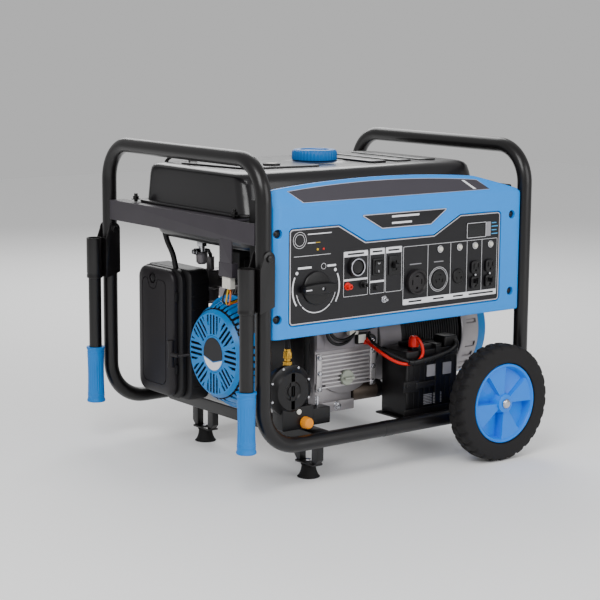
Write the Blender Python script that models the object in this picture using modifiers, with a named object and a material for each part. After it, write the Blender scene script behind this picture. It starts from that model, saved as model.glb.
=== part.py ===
"""Portable petrol and gas generator in a tube frame, with wheels and fold-down handles.

Metres, +Z up. +X runs along the control panel to the wheel end, +Y runs from the panel to
the back. The origin is on the ground, under the middle of the outer box. Most places are
measured from the front left leg with at(right, behind, height).
"""
import bmesh
import bpy
from math import cos, pi, radians, sin
from mathutils import Matrix, Vector

GAP = 0.0004                    # clearance between neighbouring pieces

# Tube frame
TUBE_R = 0.016
LEG_SPACING_X = 0.706           # left legs to right legs
LEG_SPACING_Y = 0.576           # front legs to back legs
TOP_Z = 0.666                   # centre of the top cross tubes
RAIL_Z = 0.092                  # centre of the bottom rails
TOP_BEND = 0.080
BOTTOM_BEND = 0.085
SEAM_X = 0.320                  # where the two hoops meet, from the left legs

# Carrying handles
HANDLE_X = -0.040               # handle axis, from the left legs
PIVOT_Z = 0.478
SLEEVE_R = 0.0175
HANDLE_TUBE_R = 0.014
GRIP_R = 0.0205
GRIP_TOP_Z = 0.216
GRIP_BOTTOM_Z = 0.092
BOLT_R = 0.004
YOKE_PLATE = 0.0035

# World places of the front left leg, which centre the outer box on the origin
LEFT = -(LEG_SPACING_X + TUBE_R + HANDLE_X - GRIP_R) / 2
FRONT = -LEG_SPACING_Y / 2

# Wheels and feet
WHEEL_R = 0.127
WHEEL_X = 0.579                 # axle, from the left legs
TYRE_WIDTH = 0.048
TYRE_INNER_Y = 0.042            # tyre's inner face, outside the leg plane
RIM_R = 0.086
AXLE_R = 0.008
FOOT_X = 0.162
FOOT_YS = (0.060, 0.440)
FOOT_H = 0.028

# Fuel tank
TANK_MID = (0.353, 0.295)       # middle of the tank, from the front left leg
TANK_HALF = (0.323, 0.195)      # body half sizes at the seam
SEAM_Z = 0.5462
TANK_TOP_Z = 0.632
TANK_BOTTOM_Z = 0.468
NECK_R = 0.030
CAP_R = 0.050

# Control panel
PANEL_X = (0.0185, 0.6875)
PANEL_Z = (0.312, 0.606)
PANEL_FACE_Y = -0.010
PANEL_BACK_Y = 0.078
PANEL_WALL = 0.003
PLATE_FACE_Y = -0.009
START_BUTTON = (0.2238, 0.4432, 0.0140)       # right, height, radius
RESET_BUTTON = (0.278, 0.396, 0.004)

# Engine and alternator, on one axis along X
AXIS_Y = 0.240
AXIS_Z = 0.243
SHAFT_R = 0.015
RECOIL_X = 0.047
SHROUD_X = 0.100
CRANKCASE_X = (0.225, 0.395)
STATOR_R = 0.108
END_COVER_R = 0.116

PARTS = "portable_generator"


def at(right, behind, height):
    """World point given from the front left leg."""
    return Vector((LEFT + right, FRONT + behind, height))


# ---------------------------------------------------------------- scene helpers

def clear_scene():
    for obj in list(bpy.data.objects):
        bpy.data.objects.remove(obj, do_unlink=True)
    for name in (PARTS, "cutters"):
        group = bpy.data.collections.get(name) or bpy.data.collections.new(name)
        if group.name not in bpy.context.scene.collection.children:
            bpy.context.scene.collection.children.link(group)


def material(name, colour, roughness=0.5, metallic=0.0):
    made = bpy.data.materials.get(name) or bpy.data.materials.new(name)
    made.use_nodes = True
    shader = made.node_tree.nodes["Principled BSDF"]
    shader.inputs["Base Color"].default_value = (*colour, 1.0)
    shader.inputs["Roughness"].default_value = roughness
    shader.inputs["Metallic"].default_value = metallic
    return made


def finish_material(name):
    finishes = {
        "powder_black": ((0.012, 0.012, 0.013), 0.35, 0.0),
        "sheet_grey": ((0.06, 0.055, 0.06), 0.45, 0.3),
        "rubber": ((0.015, 0.015, 0.016), 0.8, 0.0),
        "blue_plastic": ((0.02, 0.25, 0.72), 0.4, 0.0),
        "blue_grip": ((0.01, 0.22, 0.55), 0.5, 0.0),
        "black_plastic": ((0.02, 0.02, 0.022), 0.5, 0.0),
        "zinc": ((0.6, 0.6, 0.6), 0.3, 1.0),
        "cast_aluminium": ((0.45, 0.45, 0.46), 0.45, 0.9),
        "steel": ((0.4, 0.4, 0.4), 0.35, 1.0),
        "copper": ((0.6, 0.25, 0.12), 0.4, 1.0),
        "red_plastic": ((0.6, 0.03, 0.02), 0.4, 0.0),
        "grey_plastic": ((0.45, 0.46, 0.42), 0.5, 0.0),
        "orange_plastic": ((0.8, 0.25, 0.02), 0.4, 0.0),
    }
    return material(name, *finishes[name])


def add_object(name, data, finish):
    obj = bpy.data.objects.new(name, data)
    bpy.data.collections[PARTS].objects.link(obj)
    if finish:
        obj.data.materials.append(finish_material(finish))
    return obj


def make_cutter(obj):
    """Takes a shape out of the parts: it only cuts or joins another one."""
    bpy.data.collections[PARTS].objects.unlink(obj)
    bpy.data.collections["cutters"].objects.link(obj)
    obj.hide_render = True
    obj.display_type = "WIRE"
    return obj


def combine(target, tools, operation):
    for tool in tools:
        make_cutter(tool)
        boolean = target.modifiers.new(operation.lower(), "BOOLEAN")
        boolean.operation = operation
        boolean.solver = "EXACT"
        boolean.object = tool
    return target


def union(target, *tools):
    return combine(target, tools, "UNION")


def cut(target, *tools):
    return combine(target, tools, "DIFFERENCE")


def set_origin(obj, point):
    """Moves a shape's origin to a world point without moving the shape."""
    local = obj.matrix_basis.inverted() @ point
    obj.data.transform(Matrix.Translation(-local))
    obj.location = point
    return obj


# ---------------------------------------------------------------- shape helpers

def box(name, low, high, finish=None, bevel=0.0):
    low, high = Vector(low), Vector(high)
    bpy.ops.mesh.primitive_cube_add(size=1.0)
    obj = bpy.context.object
    obj.name = name
    for group in list(obj.users_collection):
        group.objects.unlink(obj)
    bpy.data.collections[PARTS].objects.link(obj)
    size = high - low
    obj.data.transform(Matrix.Diagonal((*size, 1.0)))
    obj.location = (low + high) / 2
    if bevel:
        edge = obj.modifiers.new("rounded_edges", "BEVEL")
        edge.width = bevel
        edge.segments = 2
    if finish:
        obj.data.materials.append(finish_material(finish))
    return obj


AXIS_TURN = {"X": (0.0, pi / 2, 0.0), "Y": (-pi / 2, 0.0, 0.0), "Z": (0.0, 0.0, 0.0)}


def turned(name, profile, origin, axis, finish=None, steps=24):
    """A turned solid: profile is (radius, height along the axis from the origin)."""
    area = sum(a[0] * b[1] - b[0] * a[1] for a, b in zip(profile, profile[1:] + profile[:1]))
    points = list(profile) if area < 0 else list(reversed(profile))
    on_axis = sum(1 for r, _ in points if r == 0.0)
    if on_axis:
        while not (points[0][0] == 0.0 and points[-1][0] == 0.0):
            points = points[1:] + points[:1]
    edges = [(i, i + 1) for i in range(len(points) - 1)]
    if not on_axis:
        edges.append((len(points) - 1, 0))
    mesh = bpy.data.meshes.new(name)
    mesh.from_pydata([(r, 0.0, h) for r, h in points], edges, [])
    obj = add_object(name, mesh, finish)
    screw = obj.modifiers.new("turn", "SCREW")
    screw.axis = "Z"
    screw.steps = screw.render_steps = steps
    screw.use_merge_vertices = True
    screw.merge_threshold = 0.00001
    screw.use_smooth_shade = True
    obj.rotation_euler = AXIS_TURN[axis]
    obj.location = origin
    return obj


def rod(name, origin, axis, radius, start, end, finish=None, steps=24):
    """A plain cylinder between two distances along an axis."""
    profile = [(0.0, end), (radius, end), (radius, start), (0.0, start)]
    return turned(name, profile, origin, axis, finish, steps)


def tube(name, points, radius, finish=None, resolution=4):
    """A round tube with filled ends along a route of points."""
    curve = bpy.data.curves.new(name, "CURVE")
    curve.dimensions = "3D"
    spline = curve.splines.new("POLY")
    spline.points.add(len(points) - 1)
    for point, place in zip(spline.points, points):
        point.co = (*place, 1.0)
    curve.bevel_depth = radius
    curve.bevel_resolution = resolution
    curve.use_fill_caps = True
    return add_object(name, curve, finish)


def outline(name, points, depth, finish=None):
    """A flat outline in the XZ plane, between two distances behind the front leg."""
    curve = bpy.data.curves.new(name, "CURVE")
    curve.dimensions = "2D"
    curve.fill_mode = "BOTH"
    curve.extrude = abs(depth[1] - depth[0]) / 2
    spline = curve.splines.new("POLY")
    spline.use_cyclic_u = True
    spline.points.add(len(points) - 1)
    for point, (right, height) in zip(spline.points, points):
        point.co = (LEFT + right, height, 0.0, 1.0)
    obj = add_object(name, curve, finish)
    obj.rotation_euler = (pi / 2, 0.0, 0.0)
    obj.location = (0.0, FRONT + (depth[0] + depth[1]) / 2, 0.0)
    return as_mesh(obj)


def as_mesh(obj):
    """Turns a curve into a mesh with its caps welded, so that it can be cut or joined."""
    bpy.context.view_layer.update()
    graph = bpy.context.evaluated_depsgraph_get()
    mesh = bpy.data.meshes.new_from_object(obj.evaluated_get(graph))
    work = bmesh.new()
    work.from_mesh(mesh)
    bmesh.ops.remove_doubles(work, verts=work.verts, dist=0.00001)
    bmesh.ops.recalc_face_normals(work, faces=work.faces)
    work.to_mesh(mesh)
    work.free()
    name, matrix = obj.name, obj.matrix_world.copy()
    bpy.data.objects.remove(obj, do_unlink=True)
    made = add_object(name, mesh, None)
    made.matrix_world = matrix
    return made


def bent_route(corners, bends, steps=7):
    """A route through corners in space, with a round bend of its own radius at each."""
    route = [corners[0]]
    for i in range(1, len(corners) - 1):
        corner = corners[i]
        back = (corners[i - 1] - corner).normalized()
        ahead = (corners[i + 1] - corner).normalized()
        centre = corner + bends[i - 1] * (back + ahead)
        for k in range(steps + 1):
            turn = pi / 2 * k / steps
            route.append(centre - bends[i - 1] * (ahead * cos(turn) + back * sin(turn)))
    route.append(corners[-1])
    return route


# ---------------------------------------------------------------- frame

def frame_hoops():
    """Two hoops: half rail, front leg, top cross tube, back leg, half rail."""
    bolt_holes = {"left": [0.0, LEG_SPACING_Y], "right": []}
    for side, leg_x, seam in (("left", 0.0, SEAM_X - GAP / 2),
                              ("right", LEG_SPACING_X, SEAM_X + GAP / 2)):
        corners = [at(seam, 0, RAIL_Z), at(leg_x, 0, RAIL_Z), at(leg_x, 0, TOP_Z),
                   at(leg_x, LEG_SPACING_Y, TOP_Z), at(leg_x, LEG_SPACING_Y, RAIL_Z),
                   at(seam, LEG_SPACING_Y, RAIL_Z)]
        bends = [BOTTOM_BEND, TOP_BEND, TOP_BEND, BOTTOM_BEND]
        hoop = as_mesh(tube("frame_hoop_" + side, bent_route(corners, bends), TUBE_R,
                            "powder_black"))
        holes = [rod("bolt_hole_cutter", at(0, y, PIVOT_Z), "Y", BOLT_R + GAP, -0.03, 0.03,
                     steps=12) for y in bolt_holes[side]]
        cut(hoop, *holes)


def tank_crossbars():
    """Folded sheet bars between the legs, which carry the tank's flange."""
    thickness, half_width = 0.0035, 0.010
    low_z, top_z = 0.500, 0.5432
    ends = (TUBE_R + 0.0005, LEG_SPACING_Y - TUBE_R - 0.0005)
    for side, leg_x, inward in (("left", 0.0, 1), ("right", LEG_SPACING_X, -1)):
        xs = sorted((leg_x - inward * half_width, leg_x - inward * (half_width - thickness)))
        face = box("tank_crossbar_" + side, at(xs[0], ends[0], low_z),
                   at(xs[1], ends[1], top_z), "sheet_grey")
        xs = sorted((leg_x - inward * (half_width - thickness / 2), leg_x + inward * 0.027))
        ledge = box("ledge", at(xs[0], PANEL_BACK_Y + 0.004, top_z - thickness),
                    at(xs[1], ends[1] - 0.001, top_z - 0.0001))
        parts = [ledge]
        if side == "left":
            parts.append(box("relay_tab", at(-0.0099, 0.091, 0.450), at(-0.0066, 0.138, 0.502)))
            parts.append(box("relay_box", at(-0.011, 0.092, 0.430), at(0.004, 0.137, 0.458)))
        union(face, *parts)


def base_crossmembers():
    """Channels between the bottom rails: the left one has the foot brackets."""
    inner = (TUBE_R + 0.0005, LEG_SPACING_Y - TUBE_R - 0.0005)
    left = box("base_crossmember_left", at(FOOT_X - 0.020, inner[0], 0.076),
               at(FOOT_X + 0.020, inner[1], 0.104), "powder_black")
    parts = []
    for y in FOOT_YS:
        for dy in (-0.0400, 0.0190):
            parts.append(box("foot_leg", at(FOOT_X - 0.008, y + dy, FOOT_H + 0.003),
                             at(FOOT_X + 0.008, y + dy + 0.021, 0.080)))
        parts.append(box("foot_plate", at(FOOT_X - 0.014, y - 0.032, FOOT_H + GAP),
                         at(FOOT_X + 0.014, y + 0.032, FOOT_H + 0.0045)))
    union(left, *parts)
    right = box("base_crossmember_right", at(WHEEL_X - 0.020, inner[0], 0.076),
                at(WHEEL_X + 0.020, inner[1], 0.104), "powder_black")
    tabs = []
    for y in (inner[0] + 0.001, inner[1] - 0.007):
        tab = box("axle_tab", at(WHEEL_X - 0.019, y, 0.090), at(WHEEL_X + 0.019, y + 0.006, 0.146))
        tabs.append(tab)
    tray = box("battery_tray", at(0.395, 0.030, 0.0915), at(WHEEL_X, 0.126, 0.0955))
    union(right, *tabs, tray)
    hole = rod("axle_hole_cutter", at(WHEEL_X, 0, WHEEL_R), "Y", AXLE_R + GAP, 0.0,
               LEG_SPACING_Y, steps=16)
    cut(right, hole)


def rubber_feet():
    for side, y in zip(("front", "back"), FOOT_YS):
        profile = [(0.0, FOOT_H), (0.017, FOOT_H), (0.0185, 0.010), (0.024, 0.003),
                   (0.024, 0.0), (0.0, 0.0)]
        turned("rubber_foot_" + side, profile, at(FOOT_X, y, 0.0), "Z", "rubber", 24)


# ---------------------------------------------------------------- wheels

def wheel(side):
    """A tyre on a moulded rim, turning on a bolt through the frame's tab."""
    outward = -1 if side == "front" else 1
    leg_y = 0.0 if side == "front" else LEG_SPACING_Y
    centre = at(WHEEL_X, leg_y, WHEEL_R)

    def across(values):
        return [(r, outward * h) for r, h in values]

    inner, outer = TYRE_INNER_Y, TYRE_INNER_Y + TYRE_WIDTH
    tread = across([(RIM_R + GAP, outer - 0.006), (RIM_R + 0.012, outer), (WHEEL_R - 0.012, outer),
                    (WHEEL_R - 0.003, outer - 0.007), (WHEEL_R, outer - 0.018),
                    (WHEEL_R, inner + 0.018), (WHEEL_R - 0.003, inner + 0.007),
                    (WHEEL_R - 0.012, inner), (RIM_R + 0.012, inner),
                    (RIM_R + GAP, inner + 0.006)])
    turned("tyre_" + side, tread, centre, "Y", "rubber", 40)
    hub = across([(AXLE_R + GAP, outer + 0.001), (0.018, outer + 0.001), (0.020, outer - 0.006),
                  (0.030, outer - 0.012), (0.074, outer - 0.008), (RIM_R, outer - 0.002),
                  (RIM_R, inner + 0.006), (0.078, inner + 0.008), (0.074, outer - 0.016),
                  (0.030, outer - 0.020), (0.022, inner - 0.008), (AXLE_R + GAP, inner - 0.010)])
    turned("wheel_rim_" + side, hub, centre, "Y", "blue_plastic", 40)
    bolt = across([(0.0, outer + 0.006), (0.010, outer + 0.005), (0.010, outer + 0.0015),
                   (AXLE_R, outer + 0.0014), (AXLE_R, -0.026), (0.013, -0.0262),
                   (0.013, -0.036), (0.0, -0.036)])
    turned("axle_bolt_" + side, bolt, centre, "Y", "zinc", 20)


# ---------------------------------------------------------------- handles

def handle(side):
    """A fold-down handle: a yoke turning on a bolt through the leg, a tube and a grip."""
    leg_y = 0.0 if side == "front" else LEG_SPACING_Y
    pivot = at(0, leg_y, PIVOT_Z)
    reach, drop, round_r = 0.014, 0.096, 0.014
    inner = TUBE_R + 0.001
    web_x = HANDLE_X + SLEEVE_R + GAP
    steps = 6
    arc = [(reach - round_r + round_r * cos(pi / 2 * k / steps),
            PIVOT_Z + round_r * sin(pi / 2 * k / steps)) for k in range(2 * steps + 1)]
    shape = arc + [(web_x, PIVOT_Z - 0.022), (web_x, PIVOT_Z - 0.107),
                   (web_x + YOKE_PLATE, PIVOT_Z - 0.107), (reach, PIVOT_Z - drop)]
    plates = [outline("handle_yoke_" + side, shape, (leg_y + inner, leg_y + inner + YOKE_PLATE)),
              outline("yoke_plate", shape, (leg_y - inner - YOKE_PLATE, leg_y - inner))]
    yoke = plates[0]
    yoke.data.materials.append(finish_material("powder_black"))
    web = box("yoke_web", at(web_x, leg_y - inner - 0.001, PIVOT_Z - 0.106),
              at(web_x + YOKE_PLATE - 0.0001, leg_y + inner + 0.001, PIVOT_Z - 0.019))
    union(yoke, web, plates[1])
    cut(yoke, rod("yoke_hole_cutter", pivot, "Y", BOLT_R + GAP, -0.04, 0.04, steps=12))
    set_origin(yoke, pivot)
    head, shank = inner + YOKE_PLATE + GAP, inner + YOKE_PLATE + 0.002
    bolt = [(0.0, -head - 0.005), (0.008, -head - 0.004), (0.008, -head), (BOLT_R, -head),
            (BOLT_R, shank), (0.008, shank), (0.008, shank + 0.006), (0.0, shank + 0.006)]
    turned("handle_bolt_" + side, bolt, pivot, "Y", "zinc", 12)
    handle_axis = at(HANDLE_X, leg_y, 0.0)
    sleeve_top, sleeve_end = PIVOT_Z - 0.018, PIVOT_Z - 0.107
    profile = [(0.0, sleeve_top), (SLEEVE_R - 0.002, sleeve_top), (SLEEVE_R, sleeve_top - 0.002),
               (SLEEVE_R, sleeve_end), (HANDLE_TUBE_R, sleeve_end - 0.001),
               (HANDLE_TUBE_R, GRIP_BOTTOM_Z + 0.005), (0.0, GRIP_BOTTOM_Z + 0.005)]
    stem = turned("handle_tube_" + side, profile, handle_axis, "Z", "powder_black", 24)
    bore = HANDLE_TUBE_R + GAP
    sides = GRIP_R - 0.002
    grip_profile = [(bore, GRIP_TOP_Z), (GRIP_R, GRIP_TOP_Z), (GRIP_R, GRIP_TOP_Z - 0.004),
                    (sides, GRIP_TOP_Z - 0.006), (sides, GRIP_BOTTOM_Z + 0.003),
                    (sides - 0.003, GRIP_BOTTOM_Z), (0.0, GRIP_BOTTOM_Z),
                    (0.0, GRIP_BOTTOM_Z + 0.004), (bore, GRIP_BOTTOM_Z + 0.004)]
    grip = turned("handle_grip_" + side, grip_profile, handle_axis, "Z", "blue_grip", 24)
    for piece in (stem, grip):
        set_origin(as_mesh(piece), pivot)


# ---------------------------------------------------------------- fuel tank

def rounded_rectangle(half_x, half_y, radius, shift_y=0.0, corner_steps=4):
    """A rounded rectangle round the tank's middle, shifted back by shift_y."""
    points = []
    for quarter in range(4):
        sx, sy = ((1, 1), (-1, 1), (-1, -1), (1, -1))[quarter]
        for k in range(corner_steps + 1):
            turn = pi / 2 * (quarter + k / corner_steps)
            points.append((sx * (half_x - radius) + radius * cos(turn),
                           sy * (half_y - radius) + radius * sin(turn) + shift_y))
    return points


def ellipse_like(radius, corner_steps=4):
    """A circle with the same number of points as a rounded rectangle."""
    points = []
    for quarter in range(4):
        for k in range(corner_steps + 1):
            turn = pi / 2 * (quarter + (k + 0.5) / (corner_steps + 1))
            points.append((radius * cos(turn), radius * sin(turn)))
    return points


def loft(name, rings, finish, close_start=True, close_end=True):
    """A skin through rings of equal point counts, each given with its height."""
    work = bmesh.new()
    rows = [[work.verts.new(at(TANK_MID[0] + x, TANK_MID[1] + y, z)) for x, y in ring_points]
            for ring_points, z in rings]
    count = len(rows[0])
    for low, high in zip(rows, rows[1:]):
        for i in range(count):
            j = (i + 1) % count
            work.faces.new((low[i], low[j], high[j], high[i]))
    if close_start:
        work.faces.new(list(reversed(rows[0])))
    if close_end:
        work.faces.new(rows[-1])
    mesh = bpy.data.meshes.new(name)
    work.to_mesh(mesh)
    work.free()
    return add_object(name, mesh, finish)


def fuel_tank():
    """Two stampings welded at a flange: one hollow shell, open at the filler neck."""
    hx, hy = TANK_HALF
    flange = 0.013
    half_flange = 0.0022
    rings = [
        (rounded_rectangle(hx - 0.055, hy - 0.045, 0.030), TANK_BOTTOM_Z),
        (rounded_rectangle(hx - 0.020, hy - 0.020, 0.028), TANK_BOTTOM_Z + 0.016),
        (rounded_rectangle(hx - 0.004, hy - 0.004, 0.028), SEAM_Z - half_flange - 0.001),
        (rounded_rectangle(hx + flange, hy + flange, 0.036), SEAM_Z - half_flange),
        (rounded_rectangle(hx + flange, hy + flange, 0.036), SEAM_Z + half_flange),
        (rounded_rectangle(hx - 0.002, hy - 0.002, 0.028), SEAM_Z + half_flange + 0.001),
        (rounded_rectangle(hx - 0.007, hy - 0.013, 0.030, 0.010), TANK_TOP_Z - 0.013),
        (rounded_rectangle(hx - 0.013, hy - 0.022, 0.030, 0.011), TANK_TOP_Z - 0.003),
        (ellipse_like(0.075), TANK_TOP_Z),
        (ellipse_like(NECK_R), TANK_TOP_Z),
        (ellipse_like(NECK_R), TANK_TOP_Z + 0.009),
    ]
    tank = loft("fuel_tank", rings, "powder_black", close_end=False)
    wall = tank.modifiers.new("wall", "SOLIDIFY")
    wall.thickness = 0.0012
    wall.offset = -1.0
    wall.use_even_offset = True
    cap_base, cap_top, neck_top = TANK_TOP_Z + 0.0015, TANK_TOP_Z + 0.025, TANK_TOP_Z + 0.009
    profile = [(0.0, cap_top), (0.034, cap_top), (CAP_R - 0.004, cap_top - 0.004),
               (CAP_R, cap_top - 0.010), (CAP_R, cap_base), (NECK_R + 0.002, cap_base),
               (NECK_R + 0.002, neck_top + GAP), (0.0, neck_top + GAP)]
    turned("fuel_cap", profile, at(*TANK_MID, 0.0), "Z", "blue_plastic", 32)


# ---------------------------------------------------------------- control panel

def plate_outline(grow=0.0):
    """The control plate's outline, with its sloping notch at the top, grown all round."""
    left, right, low, high, waist = 0.057, 0.626, 0.338, 0.530, 0.492
    notch = [(0.510 + grow, high + grow), (0.436 + grow * 0.5, waist + grow),
             (0.250 - grow * 0.5, waist + grow), (0.181 - grow, high + grow)]
    return [(left - grow, low - grow), (right + grow, low - grow), (right + grow, high + grow),
            *notch, (left - grow, high + grow)]


def panel_top(right):
    """Height of the panel housing's top edge, a low arch that falls at the right end."""
    middle, rise = 0.300, 0.016
    fall = max(0.0, right - 0.560) / 0.1275
    return PANEL_Z[1] + rise * (1 - ((right - middle) / middle) ** 2) - 0.020 * fall


def control_panel():
    """A deep housing with a window in its face, closed by the control plate."""
    stations = [PANEL_X[0] + 0.012, 0.12, 0.30, 0.45, 0.56, 0.62, PANEL_X[1] - 0.012]
    top = [(x, panel_top(x)) for x in stations]
    shape = ([(PANEL_X[0], PANEL_Z[0]), (PANEL_X[1], PANEL_Z[0]),
              (PANEL_X[1], panel_top(PANEL_X[1]) - 0.010)] + top[::-1]
             + [(PANEL_X[0], panel_top(PANEL_X[0]) - 0.008)])
    housing = outline("panel_housing", shape, (PANEL_FACE_Y, PANEL_BACK_Y))
    housing.data.materials.append(finish_material("blue_plastic"))
    slope = box("slope_cutter", Vector((-0.5, -0.1, 0.0)), Vector((0.5, 0.0, 0.2)))
    slope.data.transform(Matrix.Translation(slope.location))
    slope.location = (0.0, FRONT + PANEL_FACE_Y, 0.572)
    slope.rotation_euler = (radians(-24), 0.0, 0.0)
    window = outline("window_cutter", plate_outline(0.0005), (PANEL_FACE_Y - 0.01, 0.03))
    hollow = box("hollow_cutter",
                 at(PANEL_X[0] + PANEL_WALL, PANEL_FACE_Y + PANEL_WALL, PANEL_Z[0] + PANEL_WALL),
                 at(PANEL_X[1] - PANEL_WALL, PANEL_BACK_Y - PANEL_WALL, 0.565))
    step = box("back_step_cutter", at(0.0, 0.018, 0.585), at(LEG_SPACING_X, 0.100, 0.700))
    cut(housing, slope, step, hollow, window)
    plate = outline("control_plate", plate_outline(), (PLATE_FACE_Y, PLATE_FACE_Y + 0.002))
    plate.data.materials.append(finish_material("black_plastic"))
    cut(plate, *[rod("button_hole_cutter", at(right, PLATE_FACE_Y, height), "Y", radius + 0.0005,
                     -0.01, 0.01) for right, height, radius in (START_BUTTON, RESET_BUTTON)])


def on_plate(right, height):
    return at(right, PLATE_FACE_Y - 0.0003, height)


def panel_controls():
    """Everything on the control plate that turns, tips or is pushed."""
    knob_at = on_plate(0.124, 0.409)
    knob = turned("fuel_selector_knob", [(0.0, 0.0), (0.034, 0.0), (0.034, -0.003),
                                         (0.032, -0.005), (0.0, -0.005)],
                  knob_at, "Y", "black_plastic", 32)
    bar = box("knob_bar", knob_at + Vector((-0.042, -0.021, -0.0110)),
              knob_at + Vector((0.042, -0.0035, 0.0110)))
    union(knob, bar)

    def push_button(name, right, height, radius, out, finish):
        turned(name, [(0.0, 0.0), (radius, 0.0), (radius, -out + 0.001), (radius - 0.001, -out),
                      (0.0, -out)], on_plate(right, height), "Y", finish, 24)

    push_button("start_button", *START_BUTTON, 0.009, "black_plastic")
    push_button("reset_button", *RESET_BUTTON, 0.006, "black_plastic")
    for number, right in enumerate((0.453, 0.508, 0.553, 0.598), start=1):
        push_button("breaker_button_%d" % number, right, 0.462, 0.005, 0.006, "zinc")
    rocker_at = on_plate(0.283, 0.438)
    rocker = box("engine_switch_rocker", rocker_at + Vector((-0.0065, -0.005, -0.0105)),
                 rocker_at + Vector((0.0065, -0.0022, 0.0105)), "black_plastic")
    set_origin(rocker, rocker_at + Vector((0, -0.0022, 0)))
    lever_at = on_plate(0.326, 0.438)
    lever = box("main_breaker_lever", lever_at + Vector((-0.006, -0.014, -0.006)),
                lever_at + Vector((0.006, -0.0025, 0.006)), "black_plastic")
    set_origin(lever, lever_at + Vector((0, -0.0025, 0)))


def outlets():
    """Round sockets and flat duplex sockets, standing on the plate."""
    def slot(place, size):
        half = Vector((size[0] / 2, 0.0, size[1] / 2))
        return box("slot_cutter", place - half - Vector((0, 0.02, 0)),
                   place + half - Vector((0, 0.0015, 0)))

    for name, right, radius, blades, out in (
            ("outlet_large_round", 0.386, 0.0260, 0.0125, 0.010),
            ("outlet_twist_lock", 0.451, 0.0205, 0.0090, 0.003)):
        place = on_plate(right, 0.398)
        socket = rod(name, place, "Y", radius, -out, 0.0, "black_plastic", 32)
        cut(socket, slot(place + Vector((-blades, 0, 0)), (0.0025, 0.011)),
            slot(place + Vector((blades, 0, 0)), (0.0025, 0.011)),
            slot(place + Vector((0, 0, blades)), (0.008, 0.0030)))
    for name, right in (("outlet_duplex_left", 0.554), ("outlet_duplex_right", 0.596)):
        place = on_plate(right, 0.399)
        socket = box(name, place + Vector((-0.0155, -0.005, -0.0335)),
                     place + Vector((0.0155, 0.0, 0.0335)), "black_plastic")
        slots = []
        for up in (-0.0165, 0.0255):
            for side in (-0.006, 0.006):
                slots.append(slot(place + Vector((side, 0, up)), (0.0020, 0.0080)))
        cut(socket, *slots)


# ---------------------------------------------------------------- engine

def engine_axis(right):
    return at(right, AXIS_Y, AXIS_Z)


def crankcase_and_cylinder():
    """The crankcase round the crank's cavity, and the finned cylinder leaning back."""
    low_x, high_x = CRANKCASE_X
    case = box("crankcase", at(low_x, 0.122, 0.165), at(high_x, 0.340, 0.345), "cast_aluminium")
    sump = box("sump", at(low_x + 0.001, 0.126, 0.1105), at(0.330, 0.336, 0.170))
    union(case, sump)
    centre = engine_axis(0.0)
    cut(case, rod("crank_cavity_cutter", centre, "X", 0.066, low_x + 0.030, high_x - 0.030),
        rod("crank_bore_cutter", centre, "X", SHAFT_R + GAP, 0.0, 0.6))
    cylinder = box("cylinder_block", Vector((-0.065, -0.075, -0.065)),
                   Vector((0.065, 0.075, 0.065)), "cast_aluminium")
    fins = [box("fin_gap_cutter", Vector((-0.08, y, -0.08)), Vector((0.08, y + 0.006, -0.048)))
            for y in (-0.055, -0.035, -0.015, 0.005)]
    for piece in [cylinder] + fins:
        piece.data.transform(Matrix.Translation(piece.location))
        piece.location = at(0.310, 0.445, 0.335)
        piece.rotation_euler = (radians(25), 0.0, 0.0)
    cut(cylinder, *fins)


def crank_line():
    """Crankshaft with its throw, flywheel with the fan and the alternator's rotor."""
    centre = engine_axis(0.0)
    web_r, throw, pin_r = 0.056, 0.034, 0.016
    webs = ((0.272, 0.290), (0.330, 0.348))
    shaft = rod("crankshaft", centre, "X", SHAFT_R, 0.110, webs[0][1] - 0.004, "steel", 20)
    right_end = rod("shaft_right", centre, "X", SHAFT_R, webs[1][0] + 0.004, 0.698, steps=20)
    discs = [rod("crank_web", centre, "X", web_r, *span, steps=24) for span in webs]
    pin = rod("crank_pin", engine_axis(0.0) + Vector((0, 0, throw)), "X", pin_r,
              webs[0][0] + 0.002, webs[1][1] - 0.002, steps=20)
    union(shaft, *discs, pin, right_end)
    shaft_bore = SHAFT_R + GAP
    flywheel = turned("flywheel_fan", [(shaft_bore, 0.150), (0.100, 0.150), (0.100, 0.134),
                                       (0.088, 0.130), (0.030, 0.128), (0.028, 0.116),
                                       (shaft_bore, 0.116)], centre, "X", "cast_aluminium", 32)
    blades = []
    count = 12
    for k in range(count):
        turn = 2 * pi * k / count
        blade = box("fan_blade", Vector((-0.020, -0.0015, 0.050)), Vector((0.020, 0.0015, 0.094)))
        blade.data.transform(Matrix.Translation(blade.location))
        blade.location = engine_axis(0.128)
        blade.rotation_euler = (turn, 0.0, 0.0)
        blades.append(blade)
    union(flywheel, *blades)
    turned("alternator_rotor", [(shaft_bore, 0.634), (0.066, 0.634), (0.068, 0.630),
                                (0.068, 0.496), (0.066, 0.492), (shaft_bore, 0.492)],
           centre, "X", "copper", 32)


def alternator():
    centre = engine_axis(0.0)
    turned("alternator_stator", [(0.071, 0.645), (STATOR_R, 0.645), (STATOR_R, 0.480),
                                 (0.104, 0.470), (0.098, 0.3955), (0.050, 0.3955),
                                 (0.050, 0.405), (0.090, 0.410), (0.094, 0.470),
                                 (0.071, 0.480)], centre, "X", "black_plastic", 40)
    turned("alternator_end_cover", [(SHAFT_R + GAP, 0.700), (0.040, 0.7005), (0.106, 0.7215),
                                    (END_COVER_R, 0.716), (END_COVER_R, 0.6455),
                                    (END_COVER_R - 0.004, 0.6455), (END_COVER_R - 0.004, 0.700),
                                    (0.040, 0.690), (0.035, 0.660), (SHAFT_R + GAP, 0.660)],
           centre, "X", "cast_aluminium", 40)


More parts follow.
